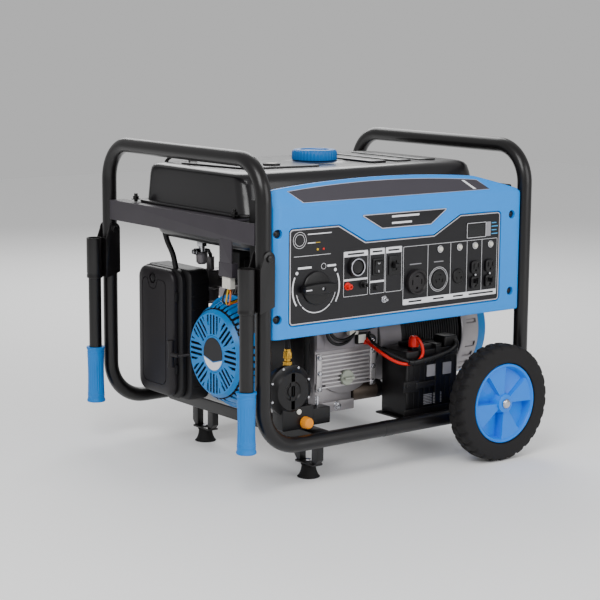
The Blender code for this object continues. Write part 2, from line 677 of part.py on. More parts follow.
def recoil_and_shroud():
    """The fan shroud, the recoil starter's cover and its T-shaped pull grip."""
    centre = engine_axis(0.0)
    shroud = rod("fan_shroud", centre, "X", 0.121, SHROUD_X + GAP, 0.165, "black_plastic", 40)
    duct = box("duct", at(0.130, 0.247, 0.255), at(0.2235, 0.376, 0.382))
    union(shroud, duct)
    cut(shroud, rod("fan_cutter", centre, "X", 0.112, 0.05, 0.158, steps=32),
        rod("shaft_cutter", centre, "X", 0.024, 0.05, 0.25, steps=16),
        box("duct_cutter", at(0.150, 0.260, 0.260), at(0.2195, 0.4, 0.377)))
    x = RECOIL_X
    turned("recoil_cover", [(0.0, x - 0.002), (0.088, x - 0.002), (0.092, x + 0.001),
                            (0.096, x + 0.012), (0.114, x + 0.047), (0.121, x + 0.049),
                            (0.121, x + 0.053), (0.108, x + 0.053), (0.093, x + 0.015),
                            (0.088, x + 0.002), (0.0, x + 0.002)],
           centre, "X", "blue_plastic", 40)
    grip_at = at(0.036, 0.386, 0.221)
    grip = rod("recoil_grip", grip_at, "Z", 0.0085, -0.031, 0.031, "black_plastic", 16)
    stem = rod("grip_stem", grip_at, "Y", 0.0055, -0.028, 0.0, steps=12)
    union(grip, stem)


def engine_accessories():
    rod("starter_motor", at(0.0, 0.146, 0.141), "X", 0.020, 0.334, 0.421, "steel", 24)
    cap_at = at(0.308, 0.122 - GAP, 0.182)
    cap = turned("oil_filler_cap", [(0.0, 0.0), (0.016, 0.0), (0.017, -0.003), (0.016, -0.010),
                                    (0.0, -0.010)], cap_at, "Y", "grey_plastic", 24)
    wing = box("cap_wing", cap_at + Vector((-0.013, -0.016, -0.003)),
               cap_at + Vector((0.013, -0.008, 0.003)))
    union(cap, wing)
    box("air_filter_base", at(0.0655, 0.371, 0.110), at(0.128, 0.552, 0.402), "black_plastic",
        0.012)
    box("air_filter_cover", at(0.050, 0.405, 0.116), at(0.065, 0.547, 0.398), "black_plastic",
        0.005)
    body = box("carburettor", at(0.140, 0.402, 0.350), at(0.240, 0.446, 0.392), "cast_aluminium")
    bowl = rod("bowl", at(0.165, 0.424, 0.0), "Z", 0.019, 0.315, 0.352, steps=20)
    inlet = rod("fuel_inlet", at(0.165, 0.424, 0.0), "Z", 0.009, 0.391, 0.420, steps=12)
    union(body, bowl, inlet)
    muffler_at = at(0.0, 0.470, 0.390)
    turned("muffler", [(0.0, 0.640), (0.044, 0.640), (0.054, 0.630), (0.054, 0.410),
                       (0.044, 0.400), (0.0, 0.400)], muffler_at, "X", "steel", 28)


# ---------------------------------------------------------------- battery and gas train

BATTERY_LOW = (0.405, 0.036, 0.0960)
BATTERY_HIGH = (0.556, 0.122, 0.2460)


def battery():
    body = box("battery", at(*BATTERY_LOW), at(*BATTERY_HIGH), "black_plastic")
    posts = [box("terminal", at(x, 0.048, 0.245), at(x + 0.016, 0.063, 0.258))
             for x in (0.432, 0.531)]
    union(body, *posts)


CABLE_ROUTE = [(0.4400, 0.0480, 0.2640), (0.4410, 0.0410, 0.2630), (0.4425, 0.0345, 0.2560),
               (0.4440, 0.0302, 0.2460), (0.4450, 0.0296, 0.2340), (0.4390, 0.0295, 0.2230),
               (0.4270, 0.0295, 0.2160), (0.4120, 0.0295, 0.2140), (0.3960, 0.0310, 0.2150),
               (0.3820, 0.0370, 0.2190), (0.3700, 0.0460, 0.2260), (0.3600, 0.0580, 0.2350),
               (0.3530, 0.0720, 0.2440), (0.3500, 0.0860, 0.2510), (0.3505, 0.1000, 0.2555),
               (0.3530, 0.1100, 0.2565), (0.3570, 0.1170, 0.2570)]


def cables():
    """The starter cable, held between the battery post and the starter relay."""
    tube("battery_cable", [at(*point) for point in CABLE_ROUTE], 0.0035, "red_plastic", 2)
    hose_at = at(0.094, 0.045, 0.0)
    rod("gas_hose", hose_at, "Z", 0.006, 0.2806, PANEL_Z[0] - GAP, "rubber", 16)


def gas_regulator():
    """The diaphragm regulator with its brass fitting, inlet block and valve."""
    disc_at = at(0.095, 0.0, 0.195)
    body = turned("gas_regulator", [(0.0, 0.026), (0.040, 0.026), (0.048, 0.034),
                                    (0.053, 0.036), (0.053, 0.046), (0.048, 0.048),
                                    (0.044, 0.066), (0.0, 0.066)], disc_at, "Y",
                  "black_plastic", 32)
    block = box("inlet_block", at(0.072, 0.030, 0.112), at(0.152, 0.066, 0.160))
    valve = box("valve", at(0.150, 0.034, 0.115), at(0.198, 0.064, 0.150))
    brass = rod("fitting", at(0.094, 0.045, 0.0), "Z", 0.009, 0.236, 0.280, steps=16)
    union(body, block, valve, brass)
    turned("gas_inlet_cap", [(0.0, 0.0), (0.0125, 0.0), (0.0125, -0.014), (0.010, -0.017),
                             (0.0, -0.017)], at(0.128, 0.0297, 0.126), "Y", "orange_plastic", 20)


def build():
    clear_scene()
    frame_hoops()
    tank_crossbars()
    base_crossmembers()
    rubber_feet()
    for side in ("front", "back"):
        wheel(side)
        handle(side)
    fuel_tank()
    control_panel()
    panel_controls()
    outlets()
    crankcase_and_cylinder()
    crank_line()
    alternator()
    recoil_and_shroud()
    engine_accessories()
    battery()
    cables()
    gas_regulator()


build()
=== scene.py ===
"""Looks of the open-frame portable generator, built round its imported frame.

Every place is in metres and measured from the front left leg of the tube frame: right along the
control panel, behind it, and up from the ground. Piece.make moves each finished mesh from there
to the frame's own origin.
"""
import logging
from dataclasses import dataclass, field
from enum import Enum
from math import cos, pi, radians, sin

import bmesh
import bpy
import numpy as np
from mathutils import Euler, Matrix, Vector


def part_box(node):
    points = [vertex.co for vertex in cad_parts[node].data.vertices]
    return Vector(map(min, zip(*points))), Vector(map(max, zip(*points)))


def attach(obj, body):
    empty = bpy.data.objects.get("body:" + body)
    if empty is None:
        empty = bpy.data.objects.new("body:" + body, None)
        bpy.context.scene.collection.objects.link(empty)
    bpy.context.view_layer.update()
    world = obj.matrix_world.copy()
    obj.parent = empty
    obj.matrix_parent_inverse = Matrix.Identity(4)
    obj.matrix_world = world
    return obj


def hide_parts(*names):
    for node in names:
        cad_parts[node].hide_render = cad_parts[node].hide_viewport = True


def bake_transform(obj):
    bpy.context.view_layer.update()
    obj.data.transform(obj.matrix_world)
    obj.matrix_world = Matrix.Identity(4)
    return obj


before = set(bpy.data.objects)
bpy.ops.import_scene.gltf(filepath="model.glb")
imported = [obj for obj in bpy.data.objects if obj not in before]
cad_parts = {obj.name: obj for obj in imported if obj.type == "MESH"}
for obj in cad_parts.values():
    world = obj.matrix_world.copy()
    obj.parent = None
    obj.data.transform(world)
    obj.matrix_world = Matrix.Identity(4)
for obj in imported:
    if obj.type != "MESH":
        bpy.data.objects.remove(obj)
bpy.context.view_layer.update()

LOG = logging.getLogger("generator")
Array = np.ndarray
TUBE_R = 0.016
LEG_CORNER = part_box("frame_hoop_left")[0]
ORIGIN = np.array([LEG_CORNER.x + TUBE_R, LEG_CORNER.y + TUBE_R, 0.0])
LEG_SPACING_X = 0.706
LEG_SPACING_Y = 0.576
CRANK_Y = 0.24
CRANK_Z = 0.243
WHEEL_X = 0.579


class Axis(Enum):
    """The axis that a turned or extruded shape runs along, with the two across it."""

    X = (0, 1, 2)
    Y = (1, 0, 2)
    Z = (2, 0, 1)


class Grain(Enum):
    """How a finish's surface is broken up: (stretch of the noise along X, Y and Z)."""

    EVEN = (1.0, 1.0, 1.0)
    BRUSHED_X = (0.04, 1.0, 1.0)
    BRUSHED_Z = (1.0, 1.0, 0.04)


# ---------------------------------------------------------------- finishes

def hex_to_linear(code: str) -> tuple[float, float, float, float]:
    """Linear colour of an sRGB hex code such as #20a0e0."""
    channels = [int(code[i:i + 2], 16) / 255.0 for i in (1, 3, 5)]
    linear = [c / 12.92 if c <= 0.04045 else ((c + 0.055) / 1.055) ** 2.4 for c in channels]
    return (*linear, 1.0)


def add_node(tree: bpy.types.NodeTree, kind: str, values: dict | None = None,
             links: dict | None = None, **settings: object) -> bpy.types.Node:
    """Adds a shader node.

    Args:
        tree: the material's node tree.
        kind: the node's type name.
        values: constants for its sockets, by name or number.
        links: output sockets to join to its inputs, by name or number.
        settings: the node's own properties.

    Returns:
        The new node.
    """
    node = tree.nodes.new(kind)
    for name, value in settings.items():
        setattr(node, name, value)
    for name, value in (values or {}).items():
        node.inputs[name].default_value = value
    for name, source in (links or {}).items():
        tree.links.new(source, node.inputs[name])
    return node


@dataclass(frozen=True)
class Finish:
    """A surface: its colour, its gloss and the size and depth of its grain."""

    name: str
    colour: str
    roughness: float
    slot: str
    metallic: float = 0.0
    coat: float = 0.0
    grain_mm: float = 0.9
    depth_mm: float = 0.02
    mottling: float = 0.12
    patch_mm: float = 35.0
    ior: float = 1.4
    grain: Grain = Grain.EVEN

    def material(self) -> bpy.types.Material:
        """The finish as a material: patches of tone, patches of gloss, and a fine grain."""
        made = bpy.data.materials.get(self.name)
        if made:
            return made
        made = bpy.data.materials.new(self.name)
        made.use_nodes = True
        tree = made.node_tree
        shader = tree.nodes["Principled BSDF"]
        place = add_node(tree, "ShaderNodeTexCoord").outputs["Object"]
        along = add_node(tree, "ShaderNodeMapping", {"Scale": self.grain.value}, {"Vector": place})
        patches = add_node(tree, "ShaderNodeTexNoise",
                           {"Scale": 1000.0 / self.patch_mm, "Detail": 4.0}, {"Vector": place})
        fine = add_node(tree, "ShaderNodeTexNoise",
                        {"Scale": 1000.0 / self.grain_mm, "Detail": 3.0},
                        {"Vector": along.outputs["Vector"]})
        light = hex_to_linear(self.colour)
        dark = tuple(c * (1.0 - 2.0 * self.mottling) for c in light[:3]) + (1.0,)
        tone = add_node(tree, "ShaderNodeMix", {6: dark, 7: light},
                        {0: patches.outputs["Fac"]}, data_type="RGBA")
        gloss = add_node(tree, "ShaderNodeMapRange",
                         {"To Min": max(0.03, self.roughness - 0.06),
                          "To Max": min(1.0, self.roughness + 0.06)},
                         {"Value": fine.outputs["Fac"]})
        bump = add_node(tree, "ShaderNodeBump",
                        {"Strength": 0.6, "Distance": self.depth_mm / 1000.0},
                        {"Height": fine.outputs["Fac"]})
        tree.links.new(tone.outputs[2], shader.inputs["Base Color"])
        tree.links.new(gloss.outputs["Result"], shader.inputs["Roughness"])
        tree.links.new(bump.outputs["Normal"], shader.inputs["Normal"])
        shader.inputs["Metallic"].default_value = self.metallic
        shader.inputs["Coat Weight"].default_value = self.coat
        shader.inputs["Coat Roughness"].default_value = 0.12
        if not self.metallic:
            shader.inputs["IOR"].default_value = self.ior
        return made


# Baked powder coat: satin, with a slight orange peel.
POWDER = Finish("powder_coated_steel", "#0e0c0d", 0.34, "powder_coat", grain_mm=1.6,
                depth_mm=0.03, coat=0.15)
# Folded sheet in a flatter, greyer paint.
SHEET = Finish("painted_sheet_steel", "#38343a", 0.48, "sheet_metal", grain_mm=1.2)
# Sprayed enamel on the pressed tank: smooth, with broad soft highlights.
ENAMEL = Finish("tank_enamel", "#141215", 0.32, "tank_paint", coat=0.3, grain_mm=2.5,
                depth_mm=0.015)
# Moulded polypropylene in the wheel, cap and panel blues: half gloss.
PANEL_BLUE = Finish("blue_moulded_panel", "#0b8be8", 0.42, "blue_plastic", mottling=0.03,
                    depth_mm=0.012)
STARTER_BLUE = Finish("blue_painted_cover", "#0079c4", 0.34, "blue_plastic", mottling=0.04)
WHEEL_BLUE = Finish("blue_wheel_polypropylene", "#007be8", 0.38, "blue_plastic", mottling=0.04)
CAP_BLUE = Finish("blue_fuel_cap", "#066bb8", 0.4, "blue_plastic", mottling=0.05)
GRIP_BLUE = Finish("blue_grip_vinyl", "#0075c8", 0.5, "grip_rubber", mottling=0.05,
                   grain_mm=0.7, depth_mm=0.04)
# Cured rubber: matt, with bloom in soft patches.
TYRE = Finish("tyre_rubber", "#141213", 0.74, "tyre", grain_mm=0.8, depth_mm=0.06, mottling=0.2)
RUBBER = Finish("foot_rubber", "#0c0b0c", 0.78, "rubber", depth_mm=0.05)
# Glass-filled nylon and ABS with a fine spark-eroded texture.
MOULDED = Finish("black_textured_abs", "#100f11", 0.5, "black_plastic", grain_mm=0.6,
                 depth_mm=0.04)
FILTER_BLACK = Finish("air_filter_polypropylene", "#1c191c", 0.46, "black_plastic",
                      grain_mm=0.8, depth_mm=0.03)
FACEPLATE = Finish("printed_faceplate_laminate", "#100f13", 0.4, "black_plastic",
                   depth_mm=0.006, mottling=0.04)
SOCKET = Finish("socket_nylon", "#0d0c0e", 0.38, "black_plastic", depth_mm=0.008)
SOCKET_GREY = Finish("round_socket_nylon", "#1c191b", 0.45, "black_plastic", depth_mm=0.008)
# Painted shade: flat black for the bottoms of slots and recesses, where only shade is seen.
PAINTED_SHADE = Finish("painted_slot_shade", "#060606", 0.8, "black_plastic", depth_mm=0.0)
# Screen inks and brushed trim on the panel.
WHITE_INK = Finish("white_screen_ink", "#e6e6ea", 0.5, "grey_plastic", mottling=0.02)
GREY_INK = Finish("grey_screen_ink", "#8e8d92", 0.5, "grey_plastic", mottling=0.02)
BLUE_INK = Finish("blue_screen_ink", "#3f9fd8", 0.5, "blue_plastic", mottling=0.02)
YELLOW_INK = Finish("yellow_screen_ink", "#d9b21c", 0.5, "orange_plastic", mottling=0.02)
HEADER = Finish("header_band_laminate", "#3a373e", 0.38, "black_plastic", mottling=0.04,
                depth_mm=0.006)
TRIM = Finish("satin_silver_trim", "#c9c9d2", 0.32, "zinc", metallic=0.55, depth_mm=0.004)
# Metals.
ZINC = Finish("bright_zinc_plate", "#c6c6ca", 0.25, "zinc", metallic=1.0, depth_mm=0.006)
CAST = Finish("die_cast_aluminium", "#a09c9e", 0.42, "cast_aluminium", metallic=0.85,
              grain_mm=1.1, depth_mm=0.05, mottling=0.16)
BRIGHT_CAST = Finish("machined_casting", "#c9c5c6", 0.36, "cast_aluminium", metallic=0.8,
                     grain_mm=0.9, depth_mm=0.03, mottling=0.08)
GREY_CAST = Finish("grey_painted_casting", "#8d888c", 0.5, "cast_aluminium", metallic=0.35,
                   grain_mm=1.2, depth_mm=0.04)
STEEL = Finish("turned_steel", "#8f8a88", 0.32, "steel", metallic=1.0, grain_mm=0.5,
               grain=Grain.BRUSHED_X, depth_mm=0.01)
HEATED = Finish("heat_tinted_steel", "#6d6259", 0.5, "steel", metallic=0.9, mottling=0.25)
BRASS = Finish("machined_brass", "#c79a3e", 0.24, "copper", metallic=1.0, grain_mm=0.5)
COPPER = Finish("enamelled_copper_winding", "#a5562c", 0.35, "copper", metallic=0.9,
                grain_mm=1.0, depth_mm=0.1)
# Small coloured mouldings and wire covers.
RED = Finish("red_soft_vinyl", "#d81606", 0.35, "red_plastic", mottling=0.05)
ORANGE = Finish("orange_polythene", "#f29414", 0.36, "orange_plastic", mottling=0.05)
OIL_GREY = Finish("oil_cap_nylon", "#a7ad9f", 0.42, "grey_plastic", mottling=0.04)
WHITE = Finish("white_nylon", "#d8d5cb", 0.42, "grey_plastic", mottling=0.05)
WIRE_BLACK = Finish("black_wire_sheath", "#0c0b0d", 0.42, "rubber", depth_mm=0.01)
WIRE_ORANGE = Finish("orange_wire_sheath", "#e8751a", 0.4, "orange_plastic", depth_mm=0.01)
GLASS = Finish("display_window", "#0c0d10", 0.08, "black_plastic", coat=0.6, depth_mm=0.0)


# ---------------------------------------------------------------- shapes

@dataclass
class Shape:
    """One or several closed shells: points (n, 3), and faces as tuples of point numbers."""

    points: Array
    faces: list = field(default_factory=list)

    def __add__(self, other: "Shape") -> "Shape":
        """Both shapes' shells side by side in one mesh."""
        shift = len(self.points)
        moved = [tuple(i + shift for i in face) for face in other.faces]
        return Shape(np.vstack([self.points, other.points]), self.faces + moved)

    def turned(self, angles: tuple[float, float, float], about: tuple) -> "Shape":
        """The shape turned by angles in degrees about a point."""
        matrix = np.array(Euler([radians(a) for a in angles]).to_matrix())
        pivot = np.asarray(about, float)
        return Shape((self.points - pivot) @ matrix.T + pivot, self.faces)


def joined(shapes: list[Shape]) -> Shape:
    """Several shapes' shells side by side in one mesh."""
    total = shapes[0]
    for shape in shapes[1:]:
        total = total + shape
    return total


def skin(rings: Array, wrap_rings: bool = False, wrap_points: bool = True) -> Shape:
    """Quads between neighbouring rings of a grid of points, with its open ends closed.

    Point (i, j) of the grid joins (i + 1, j), (i + 1, j + 1) and (i, j + 1).

    Args:
        rings: the grid, (rings, points, 3).
        wrap_rings: the last ring joins the first.
        wrap_points: each ring's last point joins its first.

    Returns:
        The grid as a shape.
    """
    count, size = rings.shape[:2]
    row = np.arange(count if wrap_rings else count - 1)[:, None]
    column = np.arange(size if wrap_points else size - 1)[None, :]
    row_next, column_next = (row + 1) % count, (column + 1) % size
    quads = np.stack([row * size + column, row_next * size + column,
                      row_next * size + column_next, row * size + column_next], -1)
    faces = [tuple(q) for q in quads.reshape(-1, 4).tolist()]
    if not wrap_rings:
        faces.append(tuple(range(size))[::-1])
        faces.append(tuple(range((count - 1) * size, count * size)))
    return Shape(rings.reshape(-1, 3), faces)


def lathe(profile: list, origin: tuple, axis: Axis = Axis.Z, steps: int = 48,
          ripple: object = None) -> Shape:
    """A turned shape: each profile point (radius, along) goes round the axis.

    A point at angle t is origin + radius * (cos t, sin t) across the axis + along on it.

    Args:
        profile: points (radius, along); one that starts and ends on the axis closes there.
        origin: a point on the axis.
        axis: the axis of turning.
        steps: points round the circle.
        ripple: a function of (angle, radius, along) that gives new radii and places along.

    Returns:
        The turned shape.
    """
    outline = np.asarray(profile, float)
    angle = np.arange(steps)[:, None] * 2.0 * pi / steps
    radius = np.repeat(outline[None, :, 0], steps, 0)
    along = np.repeat(outline[None, :, 1], steps, 0)
    if ripple:
        radius, along = ripple(angle, radius, along)
    main, first, second = axis.value
    rings = np.empty((steps, len(outline), 3))
    rings[..., main] = along
    rings[..., first] = radius * np.cos(angle)
    rings[..., second] = radius * np.sin(angle)
    on_axis = outline[0, 0] == 0.0 and outline[-1, 0] == 0.0
    return skin(rings + np.asarray(origin, float), wrap_rings=True, wrap_points=not on_axis)


def rod(origin: tuple, axis: Axis, radius: float, start: float, end: float,
        edge: float = 0.0008, steps: int = 32) -> Shape:
    """A cylinder between two places along an axis, with its rims rounded by edge."""
    turn = np.linspace(0.0, pi / 2, 4)
    low = [(radius - edge + edge * sin(t), start + edge - edge * cos(t)) for t in turn]
    high = [(radius - edge + edge * cos(t), end - edge + edge * sin(t)) for t in turn]
    return lathe([(0.0, start)] + low + high + [(0.0, end)], origin, axis, steps)


def ring(origin: tuple, axis: Axis, inner: float, outer: float, start: float, end: float,
         edge: float = 0.0006, steps: int = 48) -> Shape:
    """A flat ring whose section is a rectangle with cut corners."""
    e = edge
    section = [(inner, start + e), (inner + e, start), (outer - e, start), (outer, start + e),
               (outer, end - e), (outer - e, end), (inner + e, end), (inner, end - e)]
    return lathe(section, origin, axis, steps)


def filleted(corners: list, radius: float | list, steps: int = 6) -> Array:
    """An outline whose corners are arcs, each from one tangent point to the other.

    Args:
        corners: points (a, b) in order.
        radius: one radius, or one for each corner.
        steps: points on an arc, less one.

    Returns:
        Points (n, 2).
    """
    corners_2d = np.asarray(corners, float)
    radii = np.broadcast_to(np.asarray(radius, float), (len(corners_2d),))
    rows = []
    for i, corner in enumerate(corners_2d):
        back = corners_2d[i - 1] - corner
        ahead = corners_2d[(i + 1) % len(corners_2d)] - corner
        back, ahead = back / np.linalg.norm(back), ahead / np.linalg.norm(ahead)
        half = np.arccos(np.clip(back @ ahead, -1, 1)) / 2
        if radii[i] <= 0 or half > pi / 2 - 0.02:
            rows.append(corner[None, :])
            continue
        reach = radii[i] / np.tan(half)
        middle = (back + ahead) / np.linalg.norm(back + ahead)
        centre = corner + middle * radii[i] / np.sin(half)
        start = corner + back * reach - centre
        end = corner + ahead * reach - centre
        sweep_angle = pi - 2 * half
        t = np.linspace(0, 1, steps + 1)[:, None]
        arc = (np.sin((1 - t) * sweep_angle) * start + np.sin(t * sweep_angle) * end)
        rows.append(centre + arc / np.sin(sweep_angle))
    return np.vstack(rows)


def rectangle(low: tuple, high: tuple, radius: float = 0.0, steps: int = 6) -> Array:
    """A rectangle's outline with round corners."""
    corners = [(low[0], low[1]), (high[0], low[1]), (high[0], high[1]), (low[0], high[1])]
    return filleted(corners, radius, steps)


def inset(outline: Array, distance: float) -> Array:
    """An outline moved inwards by a distance, each point along its two edges' normals."""
    before, after = np.roll(outline, 1, 0), np.roll(outline, -1, 0)
    area = np.sum(outline[:, 0] * after[:, 1] - after[:, 0] * outline[:, 1])
    first, second = outline - before, after - outline
    first /= np.linalg.norm(first, axis=1)[:, None] + 1e-12
    second /= np.linalg.norm(second, axis=1)[:, None] + 1e-12
    normal = np.stack([-(first[:, 1] + second[:, 1]), first[:, 0] + second[:, 0]], 1)
    normal /= np.linalg.norm(normal, axis=1)[:, None] + 1e-12
    lean = np.abs(normal[:, 0] * -first[:, 1] + normal[:, 1] * first[:, 0]).clip(0.4, 1.0)
    return outline + np.sign(area) * normal * (distance / lean)[:, None]


def placed(outline: Array, depth: float, axis: Axis) -> Array:
    """A flat outline as points in space, at a depth along an axis."""
    main, first, second = axis.value
    points = np.empty((len(outline), 3))
    points[:, main] = depth
    points[:, first] = outline[:, 0]
    points[:, second] = outline[:, 1]
    return points


def plate(outline: Array, start: float, end: float, axis: Axis = Axis.Y,
          edge: float = 0.0006, steps: int = 3) -> Shape:
    """An extruded outline with rounded rims: a quarter circle of insets at each end."""
    thick = abs(end - start)
    edge = min(edge, thick / 2.01)
    way = 1.0 if end > start else -1.0
    turn = np.linspace(0.0, pi / 2, steps + 1)
    low = [(edge * (1 - sin(t)), start + way * edge * (1 - cos(t))) for t in turn]
    high = [(edge * (1 - cos(t)), end - way * edge * (1 - sin(t))) for t in turn]
    rings = np.stack([placed(inset(outline, d), z, axis) for d, z in low + high])
    return skin(rings)


def band(outline: Array, width: float, start: float, end: float,
         axis: Axis = Axis.Y) -> Shape:
    """A closed strip that follows an outline, width wide towards the inside."""
    inner = inset(outline, width)
    rings = np.stack([placed(outline, start, axis), placed(outline, end, axis),
                      placed(inner, end, axis), placed(inner, start, axis)])
    return skin(rings, wrap_rings=True)


def block(low: tuple, high: tuple, radius: float = 0.002, edge: float = 0.001,
          axis: Axis = Axis.Y) -> Shape:
    """A box between two corners, with round corners about one axis and round rims."""
    main, first, second = axis.value
    outline = rectangle((low[first], low[second]), (high[first], high[second]), radius, 4)
    return plate(outline, low[main], high[main], axis, edge)


def sweep(path: Array, radius: float | Array, sides: int = 24) -> Shape:
    """A round tube along a path: circles across it, each turned least from the one before.

    Args:
        path: points (n, 3).
        radius: one radius, or one for each point.
        sides: points round a circle.

    Returns:
        The tube.
    """
    path = np.asarray(path, float)
    ahead = np.gradient(path, axis=0)
    ahead /= np.linalg.norm(ahead, axis=1)[:, None]
    side = np.cross(ahead[0], [0.31, 0.17, 0.93])
    sides_list = []
    for direction in ahead:
        side = side - direction * (side @ direction)
        side /= np.linalg.norm(side)
        sides_list.append(side)
    across = np.array(sides_list)
    up = np.cross(ahead, across)
    t = np.arange(sides) * 2 * pi / sides
    size = np.broadcast_to(np.asarray(radius, float), (len(path),))[:, None, None]
    circle = (across[:, None, :] * np.cos(t)[None, :, None]
              + up[:, None, :] * np.sin(t)[None, :, None])
    return skin(path[:, None, :] + size * circle)


def smooth_path(points: list, count: int = 40) -> Array:
    """A Catmull-Rom curve through points: each stretch is a cubic of its four neighbours."""
    knots = np.asarray(points, float)
    padded = np.vstack([2 * knots[0] - knots[1], knots, 2 * knots[-1] - knots[-2]])
    place = np.linspace(0, len(knots) - 1.000001, count)
    i = place.astype(int)
    t = (place - i)[:, None]
    a, b, c, d = padded[i], padded[i + 1], padded[i + 2], padded[i + 3]
    return 0.5 * (2 * b + (c - a) * t + (2 * a - 5 * b + 4 * c - d) * t ** 2
                  + (3 * b - a - 3 * c + d) * t ** 3)


def bent_route(corners: list, bends: list, steps: int = 16) -> Array:
    """A route through corners in space with a quarter circle at each inner corner."""
    points = [np.asarray(corners[0], float)[None, :]]
    turn = np.linspace(0.0, pi / 2, steps + 1)[:, None]
    for before, corner, after, bend in zip(corners, corners[1:], corners[2:], bends):
        corner = np.asarray(corner, float)
        back = np.asarray(before) - corner
        ahead = np.asarray(after) - corner
        back, ahead = back / np.linalg.norm(back), ahead / np.linalg.norm(ahead)
        centre = corner + bend * (back + ahead)
        points.append(centre - bend * (ahead * np.cos(turn) + back * np.sin(turn)))
    points.append(np.asarray(corners[-1], float)[None, :])
    return np.vstack(points)


def hexagon(origin: tuple, axis: Axis, radius: float, start: float, end: float) -> Shape:
    """A hexagon head with its rims rounded."""
    angle = np.arange(6) * pi / 3
    main, first, second = axis.value
    outline = np.stack([origin[first] + radius * np.cos(angle),
                        origin[second] + radius * np.sin(angle)], 1)
    return plate(outline, origin[main] + start, origin[main] + end, axis, 0.0007)


# ---------------------------------------------------------------- pieces

class Piece:
    """Turns shapes into finished pieces that ride on the frame's bodies."""

    count = 0

    @staticmethod
    def mesh_object(name: str, shape: Shape) -> bpy.types.Object:
        """A mesh object of a shape, with its seams and poles merged and its faces outwards."""
        mesh = bpy.data.meshes.new(name)
        mesh.from_pydata((shape.points + ORIGIN).tolist(), [], shape.faces)
        work = bmesh.new()
        work.from_mesh(mesh)
        bmesh.ops.remove_doubles(work, verts=work.verts, dist=0.000002)
        bmesh.ops.dissolve_degenerate(work, edges=work.edges, dist=0.000001)
        bmesh.ops.recalc_face_normals(work, faces=work.faces)
        work.to_mesh(mesh)
        work.free()
        made = bpy.data.objects.new(name, mesh)
        bpy.context.scene.collection.objects.link(made)
        return made

    @classmethod
    def make(cls, name: str, shape: Shape, finish: Finish, body: str | None = "frame",
             node: str | None = None, cuts: list[Shape] | None = None,
             smooth: float = 32.0) -> bpy.types.Object:
        """Makes one finished piece.

        Args:
            name: the piece's name.
            shape: its surface.
            finish: its material.
            body: the body that it rides on, or None for a piece held between two.
            node: the CAD node that it stands for.
            cuts: shapes taken out of it.
            smooth: edges flatter than this many degrees are shaded smooth.

        Returns:
            The piece.
        """
        made = cls.mesh_object(name, shape)
        made.data.materials.append(finish.material())
        if cuts:
            cls.carve(made, joined(cuts))
        made.data.shade_smooth()
        made.data.set_sharp_from_angle(angle=radians(smooth))
        if body:
            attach(made, body)
        if node:
            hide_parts(node)
        cls.count += 1
        LOG.info("%-28s on %-16s %6d faces", name, body or "two bodies", len(made.data.polygons))
        return made

    @staticmethod
    def applied(made: bpy.types.Object) -> None:
        """Replaces a piece's mesh with the one that its modifiers give."""
        bpy.context.view_layer.update()
        graph = bpy.context.evaluated_depsgraph_get()
        mesh = bpy.data.meshes.new_from_object(made.evaluated_get(graph))
        made.modifiers.clear()
        made.data = mesh

    @classmethod
    def carve(cls, made: bpy.types.Object, shape: Shape) -> None:
        """Cuts a shape out of a piece for good."""
        tool = cls.mesh_object("cutter", shape)
        boolean = made.modifiers.new("cut", "BOOLEAN")
        boolean.operation = "DIFFERENCE"
        boolean.object = tool
        cls.applied(made)
        bpy.data.objects.remove(tool, do_unlink=True)


def dress(node: str, finish: Finish) -> None:
    """Gives a CAD node that stays in view its finish."""
    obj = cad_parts[node]
    obj.data.materials.clear()
    obj.data.materials.append(finish.material())


# ---------------------------------------------------------------- tube frame

